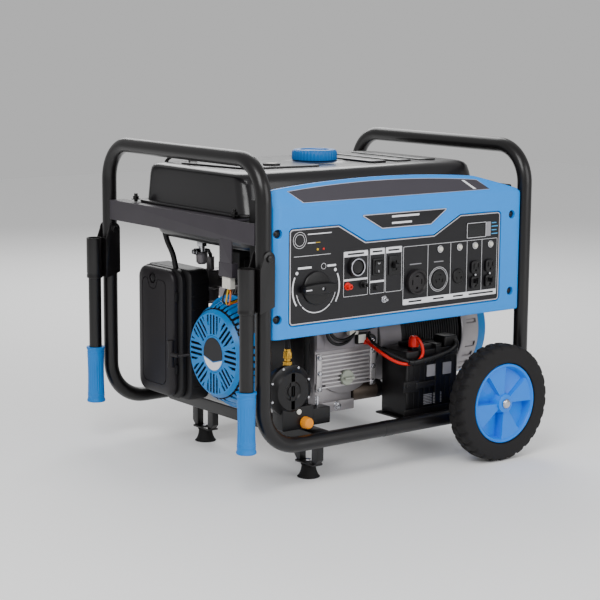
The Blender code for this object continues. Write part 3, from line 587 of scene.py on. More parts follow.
@dataclass
class TubeFrame:
    """The bent tubes, the folded crossbars, the base channels and the feet."""

    top_z: float = 0.666
    rail_z: float = 0.092
    top_bend: float = 0.08
    bottom_bend: float = 0.085
    seam_x: float = 0.32
    foot_x: float = 0.162
    wheel_x: float = WHEEL_X
    foot_ys: tuple = (0.06, 0.44)

    def hoops(self) -> None:
        """Each hoop is a circle carried along half a rail, a leg, the top, a leg and a rail."""
        for side, leg_x, gap in (("left", 0.0, -0.0003), ("right", LEG_SPACING_X, 0.0003)):
            seam, back = self.seam_x + gap, LEG_SPACING_Y
            corners = [(seam, 0, self.rail_z), (leg_x, 0, self.rail_z), (leg_x, 0, self.top_z),
                       (leg_x, back, self.top_z), (leg_x, back, self.rail_z),
                       (seam, back, self.rail_z)]
            bends = [self.bottom_bend, self.top_bend, self.top_bend, self.bottom_bend]
            Piece.make("tube_hoop_" + side, sweep(bent_route(corners, bends), TUBE_R, 40), POWDER,
                       node="frame_hoop_" + side)
        collars = [lathe([(TUBE_R - 0.001, -0.012), (TUBE_R + 0.0006, -0.011),
                          (TUBE_R + 0.0006, 0.011), (TUBE_R - 0.001, 0.012)],
                         (self.seam_x, y, self.rail_z), Axis.X, 40) for y in (0.0, LEG_SPACING_Y)]
        Piece.make("rail_seam_collars", joined(collars), POWDER)

    def crossbars(self) -> None:
        """Folded bars under the tank: a tall face outside and a ledge inside."""
        start, end = 0.0165, LEG_SPACING_Y - 0.0165
        for side, leg_x, inward in (("left", 0.0, 1), ("right", LEG_SPACING_X, -1)):
            outer, inner = leg_x - inward * 0.01, leg_x - inward * 0.0065
            face = block((min(outer, inner), start, 0.5), (max(outer, inner), end, 0.5432),
                         0.0015, 0.0008, Axis.X)
            ledge_x = sorted((leg_x - inward * 0.0068, leg_x + inward * 0.027))
            ledge = block((ledge_x[0], 0.083, 0.5396), (ledge_x[1], end - 0.001, 0.543),
                          0.004, 0.0008, Axis.Z)
            Piece.make("crossbar_" + side, face + ledge, SHEET, node="tank_crossbar_" + side)
        tab = block((-0.0105, 0.093, 0.452), (-0.0078, 0.136, 0.503), 0.002, 0.0006, Axis.X)
        carrier = block((-0.0112, 0.091, 0.427), (0.005, 0.138, 0.456), 0.002, 0.0012, Axis.X)
        Piece.make("module_carrier", tab + carrier, SHEET)
        plug = block((-0.009, 0.1, 0.403), (0.004, 0.128, 0.4265), 0.0015, 0.0008, Axis.X)
        ribs = [block((-0.0096, y, 0.405), (-0.0086, y + 0.0022, 0.424), 0.0004, 0.0003, Axis.X)
                for y in np.arange(0.1025, 0.126, 0.0062)]
        Piece.make("module_plug", plug + joined(ribs), WHITE)
        for number, (finish, y) in enumerate(((WIRE_ORANGE, 0.108), (YELLOW_INK, 0.114),
                                              (WIRE_BLACK, 0.12))):
            bow = 0.006 * (number - 1)
            route = [(-0.003, y, 0.405), (-0.005, y + 0.002 + bow, 0.388),
                     (0.0, y + 0.012 + bow, 0.374), (0.012, y + 0.024, 0.366),
                     (0.03, y + 0.03, 0.368), (0.055, y + 0.034, 0.372)]
            Piece.make("module_wire_%d" % number, sweep(smooth_path(route, 36), 0.0018, 10), finish)

    def base(self) -> None:
        """Channels between the rails, with the folded foot brackets, axle tabs and tray."""
        start, end = 0.0165, LEG_SPACING_Y - 0.0165
        channel = block((self.foot_x - 0.02, start, 0.076), (self.foot_x + 0.02, end, 0.104),
                        0.003, 0.001, Axis.Y)
        parts = [channel]
        for y in self.foot_ys:
            for side in (-1, 1):
                inner, outer = y + side * 0.0192, y + side * 0.04
                shape = [(inner, 0.031), (inner, 0.08), (outer, 0.08), (outer, 0.042),
                         (y + side * 0.03, 0.031)]
                parts.append(plate(filleted(shape, 0.0015, 3), self.foot_x - 0.0078,
                                   self.foot_x + 0.0078, Axis.X, 0.0008))
            parts.append(block((self.foot_x - 0.0135, y - 0.0315, 0.0285),
                               (self.foot_x + 0.0135, y + 0.0315, 0.0325), 0.003, 0.0008, Axis.Z))
        Piece.make("base_channel_left", joined(parts), POWDER, node="base_crossmember_left")
        right = block((self.wheel_x - 0.02, start, 0.076), (self.wheel_x + 0.02, end, 0.104),
                      0.003, 0.001, Axis.Y)
        tabs = [plate(filleted([(self.wheel_x - 0.019, 0.09), (self.wheel_x + 0.019, 0.09),
                                (self.wheel_x + 0.019, 0.146), (self.wheel_x - 0.019, 0.146)],
                               [0, 0, 0.018, 0.018]), y, y + 0.006, Axis.Y, 0.0008)
                for y in (start + 0.001, end - 0.007)]
        tray = block((0.395, 0.03, 0.0915), (self.wheel_x, 0.126, 0.0955), 0.003, 0.0008, Axis.Z)
        lip = block((0.395, 0.029, 0.0915), (0.56, 0.0308, 0.114), 0.003, 0.0006, Axis.Y)
        Piece.make("base_channel_right", joined([right, *tabs, tray, lip]), POWDER,
                   node="base_crossmember_right")

    def feet(self) -> None:
        """Waisted rubber feet: the radius falls from the bracket and flares at the ground."""
        flare = [(0.015 + 0.009 * (1 - z / 0.0275) ** 2.4, z)
                 for z in np.linspace(0.0035, 0.0255, 12)]
        for side, y in zip(("front", "back"), self.foot_ys):
            profile = [(0.0, 0.0), (0.0225, 0.0), (0.024, 0.0012), *flare, (0.0165, 0.0268),
                       (0.0165, 0.028), (0.0, 0.028)]
            Piece.make("foot_" + side, lathe(profile, (self.foot_x, y, 0.0)), RUBBER,
                       node="rubber_foot_" + side)
            Piece.make("foot_nut_" + side,
                       hexagon((self.foot_x, y, 0.0), Axis.Z, 0.0065, 0.033, 0.038), ZINC)

    def build(self) -> None:
        """Makes the frame's pieces."""
        self.hoops()
        self.crossbars()
        self.base()
        self.feet()


# ---------------------------------------------------------------- wheels

@dataclass
class Wheel:
    """A solid tyre with tread blocks on a moulded rim with four raised vanes."""

    side: str
    radius: float = 0.127
    x: float = WHEEL_X
    inner: float = 0.042
    width: float = 0.048
    rim_r: float = 0.086

    def build(self) -> None:
        """Makes the tyre, the rim and the axle bolt."""
        self.out = -1.0 if self.side == "front" else 1.0
        self.origin = (self.x, 0.0 if self.side == "front" else LEG_SPACING_Y, self.radius)
        self.tyre()
        self.rim()
        self.axle_bolt()

    def tyre(self) -> None:
        """The tread's radius is notched by two square waves of angle, one on each shoulder."""
        outer, middle = self.inner + self.width, self.inner + self.width / 2
        t = np.linspace(-1, 1, 33)
        crown = self.radius - 0.0062 * np.abs(t) ** 5
        across = middle + t * (self.width / 2 - 0.0008 * np.abs(t) ** 8)
        wall = [(self.rim_r + 0.0006, outer - 0.006), (self.rim_r + 0.003, outer - 0.0015),
                (self.rim_r + 0.008, outer), (self.radius - 0.013, outer + 0.0002),
                (self.radius - 0.0085, outer - 0.0003)]
        profile = wall + list(zip(crown[::-1], across[::-1]))
        profile += [(r, 2 * middle - a) for r, a in wall[::-1]]

        def notch(angle: Array, radius: Array, along: Array) -> tuple[Array, Array]:
            """Grooves 3 mm deep: 30 blocks on each shoulder, offset by half a block."""
            place = (along - middle) / (self.width / 2)
            wave = np.sin(30 * angle + np.where(place > 0, 0.0, pi) + 1.6 * np.abs(place))
            groove = np.clip(3.0 * wave - 1.2, 0.0, 1.0)
            on_tread = np.clip((radius - self.radius + 0.0075) / 0.0015, 0.0, 1.0)
            centre_line = np.clip(1.0 - np.abs(place) / 0.07, 0.0, 1.0)
            return radius - 0.003 * on_tread * np.maximum(groove, centre_line), along * self.out

        shape = lathe(profile, self.origin, Axis.Y, 360, notch)
        Piece.make("tyre_tread_" + self.side, shape, TYRE, "wheel_" + self.side,
                   "tyre_" + self.side, smooth=40)

    def rim(self) -> None:
        """The outer face is a plateau in four sectors and sinks 17 mm between them."""
        outer = self.inner + self.width
        face = outer - 0.0055
        r = np.concatenate([[0.0084, 0.015, 0.0195, 0.0205], np.linspace(0.0225, 0.077, 24),
                            [0.0785, 0.08, 0.0815, 0.0835, self.rim_r]])
        hub = [(0.0084, outer + 0.0005), (0.015, outer + 0.0005), (0.0195, outer - 0.001),
               (0.0205, face)]
        front = hub + [(x, face) for x in r[4:28]]
        front += [(0.0785, face + 0.0004), (0.08, outer - 0.0025), (0.0815, outer - 0.0015),
                  (0.0835, outer - 0.0015), (self.rim_r - 0.0002, outer - 0.003)]
        back = [(self.rim_r - 0.0002, self.inner + 0.006), (0.079, self.inner + 0.008),
                (0.076, outer - 0.0285), (0.03, outer - 0.03), (0.022, self.inner - 0.008),
                (0.0084, self.inner - 0.01)]

        def vanes(angle: Array, radius: Array, along: Array) -> tuple[Array, Array]:
            """A sector wave of 90 degrees sinks the face between the hub and the rim ring."""
            turn = (np.degrees(angle) - 17.0 + 45.0) % 90.0 - 45.0
            inside = np.clip((21.5 - np.abs(turn)) / 1.6, 0.0, 1.0)
            wall = (np.clip((radius - 0.0215) / 0.003, 0, 1)
                    * np.clip((0.0785 - radius) / 0.003, 0, 1))
            on_face = (along > face - 0.001) & (radius > 0.021) & (radius < 0.0784)
            slope = 0.006 + 0.011 * np.clip((turn % 90.0 - 21.5) / 47.0, 0.0, 1.0)
            sunk = np.where(on_face, (1.0 - inside) * wall * (0.004 + slope), 0.0)
            return radius, (along - sunk) * self.out

        Piece.make("rim_vanes_" + self.side,
                   lathe(front + back, self.origin, Axis.Y, 240, vanes), WHEEL_BLUE,
                   "wheel_" + self.side, "wheel_rim_" + self.side, smooth=28)

    def axle_bolt(self) -> None:
        """A domed zinc bolt through the hub and the frame's tab."""
        outer, out = self.inner + self.width, self.out
        dome = [(0.0098 * cos(t), out * (outer + 0.0034 + 0.003 * sin(t)))
                for t in np.linspace(0, pi / 2, 8)]
        profile = dome[::-1] + [(0.0105, out * (outer + 0.0028)), (0.0105, out * (outer + 0.0012)),
                                (0.008, out * (outer + 0.001)), (0.008, out * -0.026),
                                (0.013, out * -0.0262), (0.013, out * -0.0355),
                                (0.0, out * -0.0358)]
        profile[0] = (0.0, profile[0][1])
        Piece.make("axle_bolt_head_" + self.side, lathe(profile, self.origin, Axis.Y, 40), ZINC,
                   node="axle_bolt_" + self.side)


# ---------------------------------------------------------------- handles

@dataclass
class FoldHandle:
    """A handle that hangs from a bolt through the leg and swings out level."""

    side: str
    x: float = -0.04
    pivot_z: float = 0.478
    grip_top: float = 0.216
    grip_low: float = 0.092

    def build(self) -> None:
        """Makes the yoke, tube, grip and bolt."""
        self.body = "handle_" + self.side
        self.leg_y = 0.0 if self.side == "front" else LEG_SPACING_Y
        self.yoke()
        self.stem()
        self.grip()
        self.bolt()

    def yoke(self) -> None:
        """Two cheeks with round tops beside the leg, joined by a web behind the sleeve."""
        inner, thick, z = TUBE_R + 0.001, 0.0035, self.pivot_z
        web_x = self.x + 0.0179
        turn = np.linspace(0.0, pi, 17)
        arc = np.stack([0.014 * np.cos(turn), z + 0.014 * np.sin(turn)], 1)
        outline = np.vstack([arc, [(web_x, z - 0.022), (web_x, z - 0.107),
                                   (web_x + 0.0034, z - 0.107), (0.012, z - 0.0968),
                                   (0.0137, z - 0.0955), (0.014, z - 0.094)]])
        hole = [rod((0, self.leg_y, z), Axis.Y, 0.0044, -0.04, 0.04)]
        cheeks = [plate(outline, self.leg_y + s * inner, self.leg_y + s * (inner + thick),
                        Axis.Y, 0.0008, 2) for s in (-1, 1)]
        web = block((web_x, self.leg_y - inner - 0.0012, z - 0.106),
                    (web_x + 0.0034, self.leg_y + inner + 0.0012, z - 0.019), 0.001, 0.0005,
                    Axis.X)
        Piece.make("yoke_cheeks_" + self.side, joined([*cheeks, web]), POWDER,
                   self.body, "handle_yoke_" + self.side, cuts=hole)

    def stem(self) -> None:
        """The sleeve's open top, its crimp and the thinner tube below."""
        top, end = self.pivot_z - 0.018, self.pivot_z - 0.107
        profile = [(0.0, top - 0.01), (0.0138, top - 0.01), (0.0142, top - 0.0008),
                   (0.015, top), (0.0163, top), (0.0174, top - 0.0012), (0.0175, end + 0.012),
                   (0.0169, end + 0.009), (0.0175, end + 0.006), (0.0175, end + 0.001),
                   (0.0168, end), (0.014, end - 0.0008), (0.014, self.grip_low + 0.0052),
                   (0.0, self.grip_low + 0.005)]
        Piece.make("handle_stem_" + self.side, lathe(profile, (self.x, self.leg_y, 0.0)), POWDER,
                   self.body, "handle_tube_" + self.side)

    def grip(self) -> None:
        """A vinyl grip: flared ends, three fine ridges near each and a slight waist."""
        z0, z1 = self.grip_low, self.grip_top
        along = np.linspace(z1 - 0.007, z0 + 0.008, 70)
        waist = 0.0182 + 0.0005 * np.cos((along - z0) / (z1 - z0) * 2 * pi)
        for ridge in (z1 - 0.012, z1 - 0.017, z1 - 0.022, z0 + 0.014, z0 + 0.019):
            waist += 0.0006 * np.exp(-((along - ridge) / 0.0009) ** 2)
        bore = 0.0144
        profile = [(bore, z1), (0.02, z1), (0.0205, z1 - 0.0008), (0.0205, z1 - 0.0032),
                   (0.0198, z1 - 0.0045), *zip(waist, along), (0.0196, z0 + 0.0055),
                   (0.0203, z0 + 0.004), (0.0203, z0 + 0.0015), (0.0196, z0), (0.0, z0),
                   (0.0, z0 + 0.0044), (bore, z0 + 0.0044)]

        def ribs(angle: Array, radius: Array, along_axis: Array) -> tuple[Array, Array]:
            """Twenty shallow flutes along the middle stretch."""
            middle = np.clip((z1 - 0.027 - along_axis) / 0.004, 0, 1)
            middle = middle * np.clip((along_axis - z0 - 0.024) / 0.004, 0, 1)
            outside = radius > 0.0165
            return radius - np.where(outside, 0.0007, 0) * middle * (
                0.5 + 0.5 * np.cos(20 * angle)), along_axis

        Piece.make("grip_sleeve_" + self.side,
                   lathe(profile, (self.x, self.leg_y, 0.0), steps=120, ripple=ribs), GRIP_BLUE,
                   self.body, "handle_grip_" + self.side)

    def bolt(self) -> None:
        """A flanged hexagon bolt with a lock nut."""
        origin, head = (0.0, self.leg_y, self.pivot_z), TUBE_R + 0.0048
        washer = [ring(origin, Axis.Y, 0.002, 0.0088, s * head, s * head + 0.0012)
                  for s in (-1, 1)]
        shape = joined([rod(origin, Axis.Y, 0.004, -head - 0.001, head + 0.006, steps=20),
                        hexagon(origin, Axis.Y, 0.0074, -head - 0.005, -head),
                        hexagon(origin, Axis.Y, 0.0074, head + 0.0004, head + 0.0055), *washer])
        Piece.make("pivot_bolt_" + self.side, shape, POWDER, node="handle_bolt_" + self.side)


# ---------------------------------------------------------------- fuel tank

@dataclass
class FuelTank:
    """Two pressings joined at a flange, with a gauge, a vent and a screw cap."""

    mid: tuple = (0.353, 0.295)
    half: tuple = (0.323, 0.195)
    seam_z: float = 0.5462
    top_z: float = 0.632
    bottom_z: float = 0.468

    def outline(self, margin_x: float, margin_y: float, radius: float,
                shift: float = 0.0) -> Array:
        """A rounded rectangle inside the tank's greatest outline."""
        low = (self.mid[0] - self.half[0] + margin_x, self.mid[1] - self.half[1] + margin_y + shift)
        high = (self.mid[0] + self.half[0] - margin_x,
                self.mid[1] + self.half[1] - margin_y + shift)
        return filleted([low, (high[0], low[1]), high, (low[0], high[1])], radius, 12)

    def shell(self) -> None:
        """Rings at rising heights, whose margins follow the pressing's draft and shoulders."""
        z0, seam, top = self.bottom_z, self.seam_z, self.top_z
        levels = [(0.048, 0.04, 0.03, z0, 0.0), (0.036, 0.03, 0.032, z0 + 0.0012, 0.0),
                  (0.028, 0.024, 0.032, z0 + 0.0045, 0.0), (0.021, 0.019, 0.03, z0 + 0.012, 0.0),
                  (0.012, 0.012, 0.03, z0 + 0.032, 0.0), (0.004, 0.004, 0.03, seam - 0.006, 0.0),
                  (0.003, 0.003, 0.03, seam - 0.0032, 0.0)]
        upper = [(0.0015, 0.0015, 0.03, seam + 0.0032, 0.0),
                 (0.002, 0.003, 0.03, seam + 0.008, 0.001),
                 (0.0045, 0.0075, 0.031, seam + 0.035, 0.0055),
                 (0.0062, 0.0112, 0.032, seam + 0.06, 0.0085),
                 (0.008, 0.0145, 0.033, top - 0.013, 0.01),
                 (0.0115, 0.019, 0.034, top - 0.007, 0.011),
                 (0.017, 0.026, 0.034, top - 0.004, 0.011),
                 (0.026, 0.035, 0.032, top - 0.0025, 0.011)]
        lower_shape = skin(np.stack([placed(self.outline(a, b, r, s), z, Axis.Z)
                                     for a, b, r, z, s in levels]))
        upper_rings = np.stack([placed(self.outline(a, b, r, s), z, Axis.Z)
                                for a, b, r, z, s in upper])
        upper_shape = skin(upper_rings)
        flange = plate(self.outline(-0.013, -0.013, 0.04), seam - 0.0031, seam + 0.0031, Axis.Z,
                       0.0012)
        crown = joined([lower_shape, upper_shape, flange])
        Piece.make("tank_pressings", crown, ENAMEL, node="fuel_tank", smooth=38)
        bead = band(self.outline(-0.0138, -0.0138, 0.0405), 0.0016, seam - 0.0006, seam + 0.0006,
                    Axis.Z)
        Piece.make("tank_weld_seam", bead, POWDER)

    def top_pressings(self) -> None:
        """Raised pads and ribs pressed into the top, each a low plate with sloping sides."""
        z = self.top_z - 0.003
        pads = []
        left = filleted([(0.066, 0.395), (0.105, 0.205), (0.285, 0.18), (0.285, 0.41),
                         (0.16, 0.455)], [0.02, 0.02, 0.012, 0.03, 0.03], 8)
        pads.append(plate(left, z, z + 0.0045, Axis.Z, 0.0022, 4))
        for number in range(3):
            x = 0.43 + 0.072 * number
            rib = rectangle((x, 0.19), (x + 0.046, 0.448), 0.012, 8)
            pads.append(plate(rib, z, z + 0.005 - 0.001 * number, Axis.Z, 0.0022, 4))
        collar = lathe([(0.0, z - 0.002), (0.073, z), (0.066, z + 0.0028), (0.052, z + 0.004),
                        (0.0345, z + 0.0042), (0.0345, z + 0.001), (0.0, z + 0.001)],
                       (*self.mid, 0.0), steps=72)
        Piece.make("tank_top_ribs", joined([*pads, collar]), ENAMEL, smooth=38)

    def cap(self) -> None:
        """A ribbed screw cap: 40 lobes round its skirt, a dished top and a raised bar."""
        z = self.top_z
        low, high = z + 0.0022, z + 0.0248
        profile = [(0.0, high - 0.0045), (0.03, high - 0.0045), (0.0325, high - 0.0005),
                   (0.036, high), (0.0445, high - 0.0008), (0.0475, high - 0.0035),
                   (0.0488, high - 0.0075), (0.0492, low + 0.0015), (0.0485, low),
                   (0.033, low), (0.033, z + 0.0096), (0.0, z + 0.0096)]

        def lobes(angle: Array, radius: Array, along: Array) -> tuple[Array, Array]:
            """The skirt swells and shrinks 40 times round."""
            skirt = (radius > 0.047) & (along < high - 0.002)
            return radius + np.where(skirt, 0.0007 * np.cos(40 * angle), 0.0), along

        body = lathe(profile, (*self.mid, 0.0), steps=240, ripple=lobes)
        bar = block((self.mid[0] - 0.026, self.mid[1] - 0.006, high - 0.0046),
                    (self.mid[0] + 0.026, self.mid[1] + 0.006, high - 0.0008), 0.005, 0.0012,
                    Axis.Z)
        Piece.make("fuel_cap_moulding", body + bar, CAP_BLUE, "fuel_cap", "fuel_cap")
        neck = ring((*self.mid, 0.0), Axis.Z, 0.0285, 0.03, z - 0.002, z + 0.009)
        Piece.make("filler_neck", neck, ZINC)

    def fittings(self) -> None:
        """The float gauge, the vent with its clip, and the flange bolts."""
        z = self.top_z
        gauge = lathe([(0.0, z - 0.001), (0.0185, z - 0.001), (0.0185, z + 0.005),
                       (0.0165, z + 0.0062), (0.013, z + 0.0062), (0.0125, z + 0.0052),
                       (0.0, z + 0.0052)], (0.188, 0.229, 0.0), steps=40)
        Piece.make("fuel_gauge_body", gauge, SOCKET_GREY)
        Piece.make("fuel_gauge_face", rod((0.188, 0.229, 0.0), Axis.Z, 0.0122, z + 0.005,
                                          z + 0.006, 0.0002), WHITE)
        vent = rod((0.12, 0.425, 0.0), Axis.Z, 0.0075, z - 0.002, z + 0.012)
        hose = sweep(smooth_path([(0.12, 0.425, z + 0.01), (0.105, 0.44, z + 0.016),
                                  (0.082, 0.462, z + 0.004), (0.07, 0.48, z - 0.03)]), 0.0035,
                     14)
        Piece.make("vent_valve", vent + hose, WIRE_BLACK)
        clip = smooth_path([(0.085, 0.385, z - 0.001), (0.088, 0.392, z + 0.018),
                            (0.112, 0.402, z + 0.02), (0.116, 0.408, z + 0.001)], 24)
        Piece.make("vent_clip", sweep(clip, 0.0016, 10), POWDER)
        for name, x, y in (("left_back", 0.01, 0.482), ("left_front", 0.01, 0.112),
                           ("right_back", 0.696, 0.482), ("right_front", 0.696, 0.112)):
            spot, seam = (x, y, 0.0), self.seam_z
            shape = joined([ring(spot, Axis.Z, 0.0042, 0.01, seam + 0.0033, seam + 0.005),
                            hexagon(spot, Axis.Z, 0.0072, seam + 0.005, seam + 0.011),
                            rod(spot, Axis.Z, 0.004, seam - 0.002, seam + 0.0165)])
            Piece.make("tank_bolt_" + name, shape, POWDER)

    def build(self) -> None:
        """Makes the tank's pieces."""
        self.shell()
        self.top_pressings()
        self.cap()
        self.fittings()


# ---------------------------------------------------------------- control panel

@dataclass
class ControlPanel:
    """The blue housing and the printed plate, with its switches, lamps and captions."""

    left: float = 0.0185
    right: float = 0.6875
    low: float = 0.312
    crest: float = 0.606
    face_y: float = -0.01
    shell_y: float = 0.0175
    back_y: float = 0.078
    plate_y: float = -0.009
    crease_z: float = 0.573
    lean: float = 24.0
    knob: tuple = (0.124, 0.409)

    def top(self, x: float) -> float:
        """Height of the top edge: a low parabola that falls at the right and at both corners."""
        arch = self.crest + 0.0155 * (1 - ((x - 0.3) / 0.3) ** 2)
        arch -= 0.02 * max(0.0, x - 0.56) / 0.1275
        corner = max(0.0, 0.014 - min(x - self.left, self.right - x))
        return arch - 0.0005 - (0.014 - np.sqrt(0.014 ** 2 - corner ** 2))

    def section(self, x: float, shrink: float) -> Array:
        """The housing's section at x: an upright face, a leaning one, a top and a back."""
        chamfer = 0.0065 * max(0.0, 1 - (x - self.left) / 0.0135)
        chamfer += 0.003 * max(0.0, 1 - (self.right - x) / 0.008)
        face, top = self.face_y + chamfer + shrink, self.top(x) - shrink
        slope = face + max(0.004, (top - self.crease_z) * np.tan(radians(self.lean)))
        low, back = self.low + shrink, self.shell_y - shrink
        corners = [(face, low), (face, self.crease_z), (slope, top), (back, top), (back, low)]
        flat = filleted(corners, [0.003, 0.003, 0.0035, 0.003, 0.003], 4)
        return np.column_stack([np.full(len(flat), x), flat])

    def plate_outline(self, grow: float = 0.0) -> Array:
        """The control plate's outline, with its sloping notch at the top, grown all round."""
        left, right, low, high, waist = 0.057, 0.626, 0.338, 0.53, 0.492
        corners = [(left, low), (right, low), (right, high), (0.51, high), (0.436, waist),
                   (0.25, waist), (0.181, high), (left, high)]
        outline = filleted(corners, [0.008, 0.008, 0.008, 0.003, 0.005, 0.005, 0.003, 0.008], 6)
        return inset(outline, -grow)

    def housing(self) -> None:
        """Sections joined from end to end, with a sunk bay for the plate and four screw wells."""
        ends = 0.003
        turn = np.linspace(0, pi / 2, 5)
        stations = [(self.left + ends * (1 - np.sin(t)), ends * (1 - np.cos(t)))
                    for t in turn[::-1]]
        stations += [(x, 0.0) for x in np.linspace(self.left + 0.0045, self.right - 0.0045, 110)]
        stations += [(self.right - ends * (1 - np.sin(t)), ends * (1 - np.cos(t)))
                     for t in turn]
        shape = skin(np.stack([self.section(x, d) for x, d in stations]))
        screws = [(0.0292, 0.523), (0.0292, 0.353), (0.66, 0.522), (0.66, 0.354)]
        cuts = [plate(self.plate_outline(0.0026), -0.03, -0.0052, Axis.Y, 0.0003, 1)]
        cuts += [rod((x, 0, z), Axis.Y, 0.0092, -0.03, self.face_y + 0.0075, 0.0004, 32)
                 for x, z in screws]
        Piece.make("panel_shell", shape, PANEL_BLUE, node="panel_housing", cuts=cuts, smooth=24)
        tray = block((self.left + 0.004, self.shell_y - 0.001, self.low + 0.004),
                     (self.right - 0.004, self.back_y - 0.0005, 0.5845), 0.004, 0.002)
        Piece.make("panel_back_box", tray, MOULDED)
        for number, (x, z) in enumerate(screws):
            head = lathe([(0, -0.0022), (0.003, -0.002), (0.0056, -0.0006), (0.0066, 0.001),
                          (0.0084, 0.0012), (0.0084, 0.0024), (0.0, 0.0024)],
                         (x, self.face_y + 0.005, z), Axis.Y, 32)
            arm, half = 0.0034, 0.0007
            corner = [(arm, -half), (arm, half), (half, half), (half, arm), (-half, arm),
                      (-half, half), (-arm, half), (-arm, -half), (-half, -half),
                      (-half, -arm), (half, -arm), (half, -half)]
            cross = plate(np.array(corner) + (x, z), -0.02, self.face_y + 0.0042,
                          Axis.Y, 0.0001, 1)
            Piece.make("panel_screw_%d" % number, head, POWDER, cuts=[cross])

    def header(self) -> None:
        """A printed strip on the leaning face, and a blank badge in the plate's notch."""
        along = np.linspace(0.0, 1.0, 90)
        tilt = np.tan(radians(self.lean))

        def strip(left: tuple, right: tuple, depth: float, inset_z: float) -> Shape:
            """A sheet between two curves, its ends slanting from (lower x, upper x)."""
            rows = []
            for upper, back in ((0, 0.0), (1, 0.0), (1, 0.0006), (0, 0.0006)):
                x = left[upper] + (right[upper] - left[upper]) * along
                crest = np.array([self.top(v) for v in x]) - 0.0068 - inset_z
                z = crest if upper else np.full(len(x), self.crease_z + 0.0072 + inset_z)
                y = self.face_y + (z - self.crease_z) * tilt - depth + back
                rows.append(np.stack([x, y, z], 1))
            return skin(np.stack(rows, 1))

        Piece.make("header_trim", strip((0.0915, 0.059), (0.596, 0.565), 0.0006, 0.0), TRIM)
        Piece.make("header_strip", strip((0.0935, 0.0615), (0.5945, 0.5635), 0.001, 0.001),
                   HEADER, smooth=20)
        Piece.make("header_bar", strip((0.548, 0.52), (0.556, 0.528), 0.0013, 0.003),
                   WHITE_INK, smooth=20)
        badge = [(0.235, 0.5475), (0.292, 0.516), (0.425, 0.516), (0.472, 0.5475)]
        outline = filleted(badge, 0.002, 3)
        Piece.make("badge_blank", plate(outline, self.face_y - 0.0011, self.face_y + 0.0005,
                                        Axis.Y, 0.0004), FACEPLATE)
        Piece.make("badge_trim", band(outline, 0.0018, self.face_y - 0.0014,
                                      self.face_y - 0.0009), TRIM)
        bars = [rectangle((0.318, 0.5375), (0.392, 0.5415), 0.0005, 1),
                rectangle((0.318, 0.524), (0.372, 0.528), 0.0005, 1)]
        Piece.make("badge_bars", joined([plate(b, self.face_y - 0.0013, self.face_y - 0.0008,
                                               Axis.Y, 0.0001, 1) for b in bars]), WHITE_INK)

    def faceplate(self) -> None:
        """The laminate, its silver trim and holes for the two buttons."""
        holes = [rod((0.2238, 0, 0.4432), Axis.Y, 0.0145, -0.03, 0.02),
                 rod((0.278, 0, 0.396), Axis.Y, 0.0045, -0.03, 0.02)]
        Piece.make("faceplate", plate(self.plate_outline(), self.plate_y, self.plate_y + 0.0035,
                                      Axis.Y, 0.0002, 1), FACEPLATE, node="control_plate",
                   cuts=holes, smooth=24)
        Piece.make("faceplate_trim", band(self.plate_outline(-0.0006), 0.0022,
                                          self.plate_y - 0.0003, self.plate_y + 0.0002), TRIM)

    def ink(self, name: str, finish: Finish, outlines: list, lines: list = ()) -> None:
        """Prints filled outlines and 0.7 mm frame lines 0.2 mm above the plate."""
        low, high = self.plate_y - 0.0002, self.plate_y + 0.0001
        shapes = [plate(o, low, high, Axis.Y, 0.00004, 1) for o in outlines]
        shapes += [band(o, 0.0007, low, high) for o in lines]
        Piece.make(name, joined(shapes), finish)

    @staticmethod
    def arc(middle: tuple, radius: float, width: float, start: float, end: float) -> Array:
        """An outline between two arcs about a point, between two angles in degrees."""
        t = np.radians(np.linspace(start, end, 25))
        way = np.stack([np.cos(t), np.sin(t)], 1)
        outer, inner = way * (radius + width / 2), way[::-1] * (radius - width / 2)
        return np.vstack([outer, inner]) + middle

    @staticmethod
    def disc(x: float, z: float, radius: float) -> Array:
        """A circle as an outline of 32 points."""
        t = np.arange(32) * 2 * pi / 32
        return np.stack([x + radius * np.cos(t), z + radius * np.sin(t)], 1)

    @staticmethod
    def caption_box(x0: float, z0: float, x1: float, z1: float, radius: float = 0.0008) -> Array:
        """A rectangle's outline between two corners, with small round corners."""
        return rectangle((x0, z0), (x1, z1), radius, 2)

    def prints(self) -> None:
        """Blank frames, bars and arcs in place of the captions."""
        box = self.caption_box


        frames = [box(*corners, 0.002) for corners in (
            (0.1935, 0.383, 0.2572, 0.4755), (0.2622, 0.383, 0.3018, 0.4765),
            (0.3042, 0.383, 0.348, 0.4767), (0.352, 0.351, 0.619, 0.474))]
        dividers = [box(x - 0.0004, 0.3635, x + 0.0004, 0.4738, 0.0001)
                    for x in (0.42, 0.484, 0.531, 0.574)]
        strips = [box(0.1937, 0.464, 0.257, 0.4753), box(0.1946, 0.415, 0.257, 0.419),
                  box(0.2624, 0.464, 0.3016, 0.4763), box(0.2626, 0.406, 0.3014, 0.41),
                  box(0.3044, 0.464, 0.3478, 0.4765), box(0.3522, 0.3512, 0.6188, 0.3632),
                  box(0.068, 0.4744, 0.16, 0.4752, 0.0002),
                  box(0.102, 0.5165, 0.162, 0.5185), box(0.102, 0.499, 0.122, 0.501),
                  box(0.078, 0.449, 0.112, 0.4532), box(0.152, 0.449, 0.174, 0.4532),
                  self.arc(self.knob, 0.059, 0.0032, 155, 213),
                  self.arc(self.knob, 0.059, 0.0032, -33, 25),
                  self.arc(self.knob, 0.05, 0.0014, 192, 222),
                  self.arc(self.knob, 0.05, 0.002, 226, 314),
                  self.arc(self.knob, 0.05, 0.0014, 318, 348)]
        ring_in, ring_out = self.disc(0.082, 0.507, 0.012), self.disc(0.082, 0.507, 0.0165)
        marks = [self.disc(self.knob[0] + 0.0585 * cos(a), self.knob[1] + 0.0585 * sin(a), 0.0034)
                 for a in (radians(146), radians(34))]
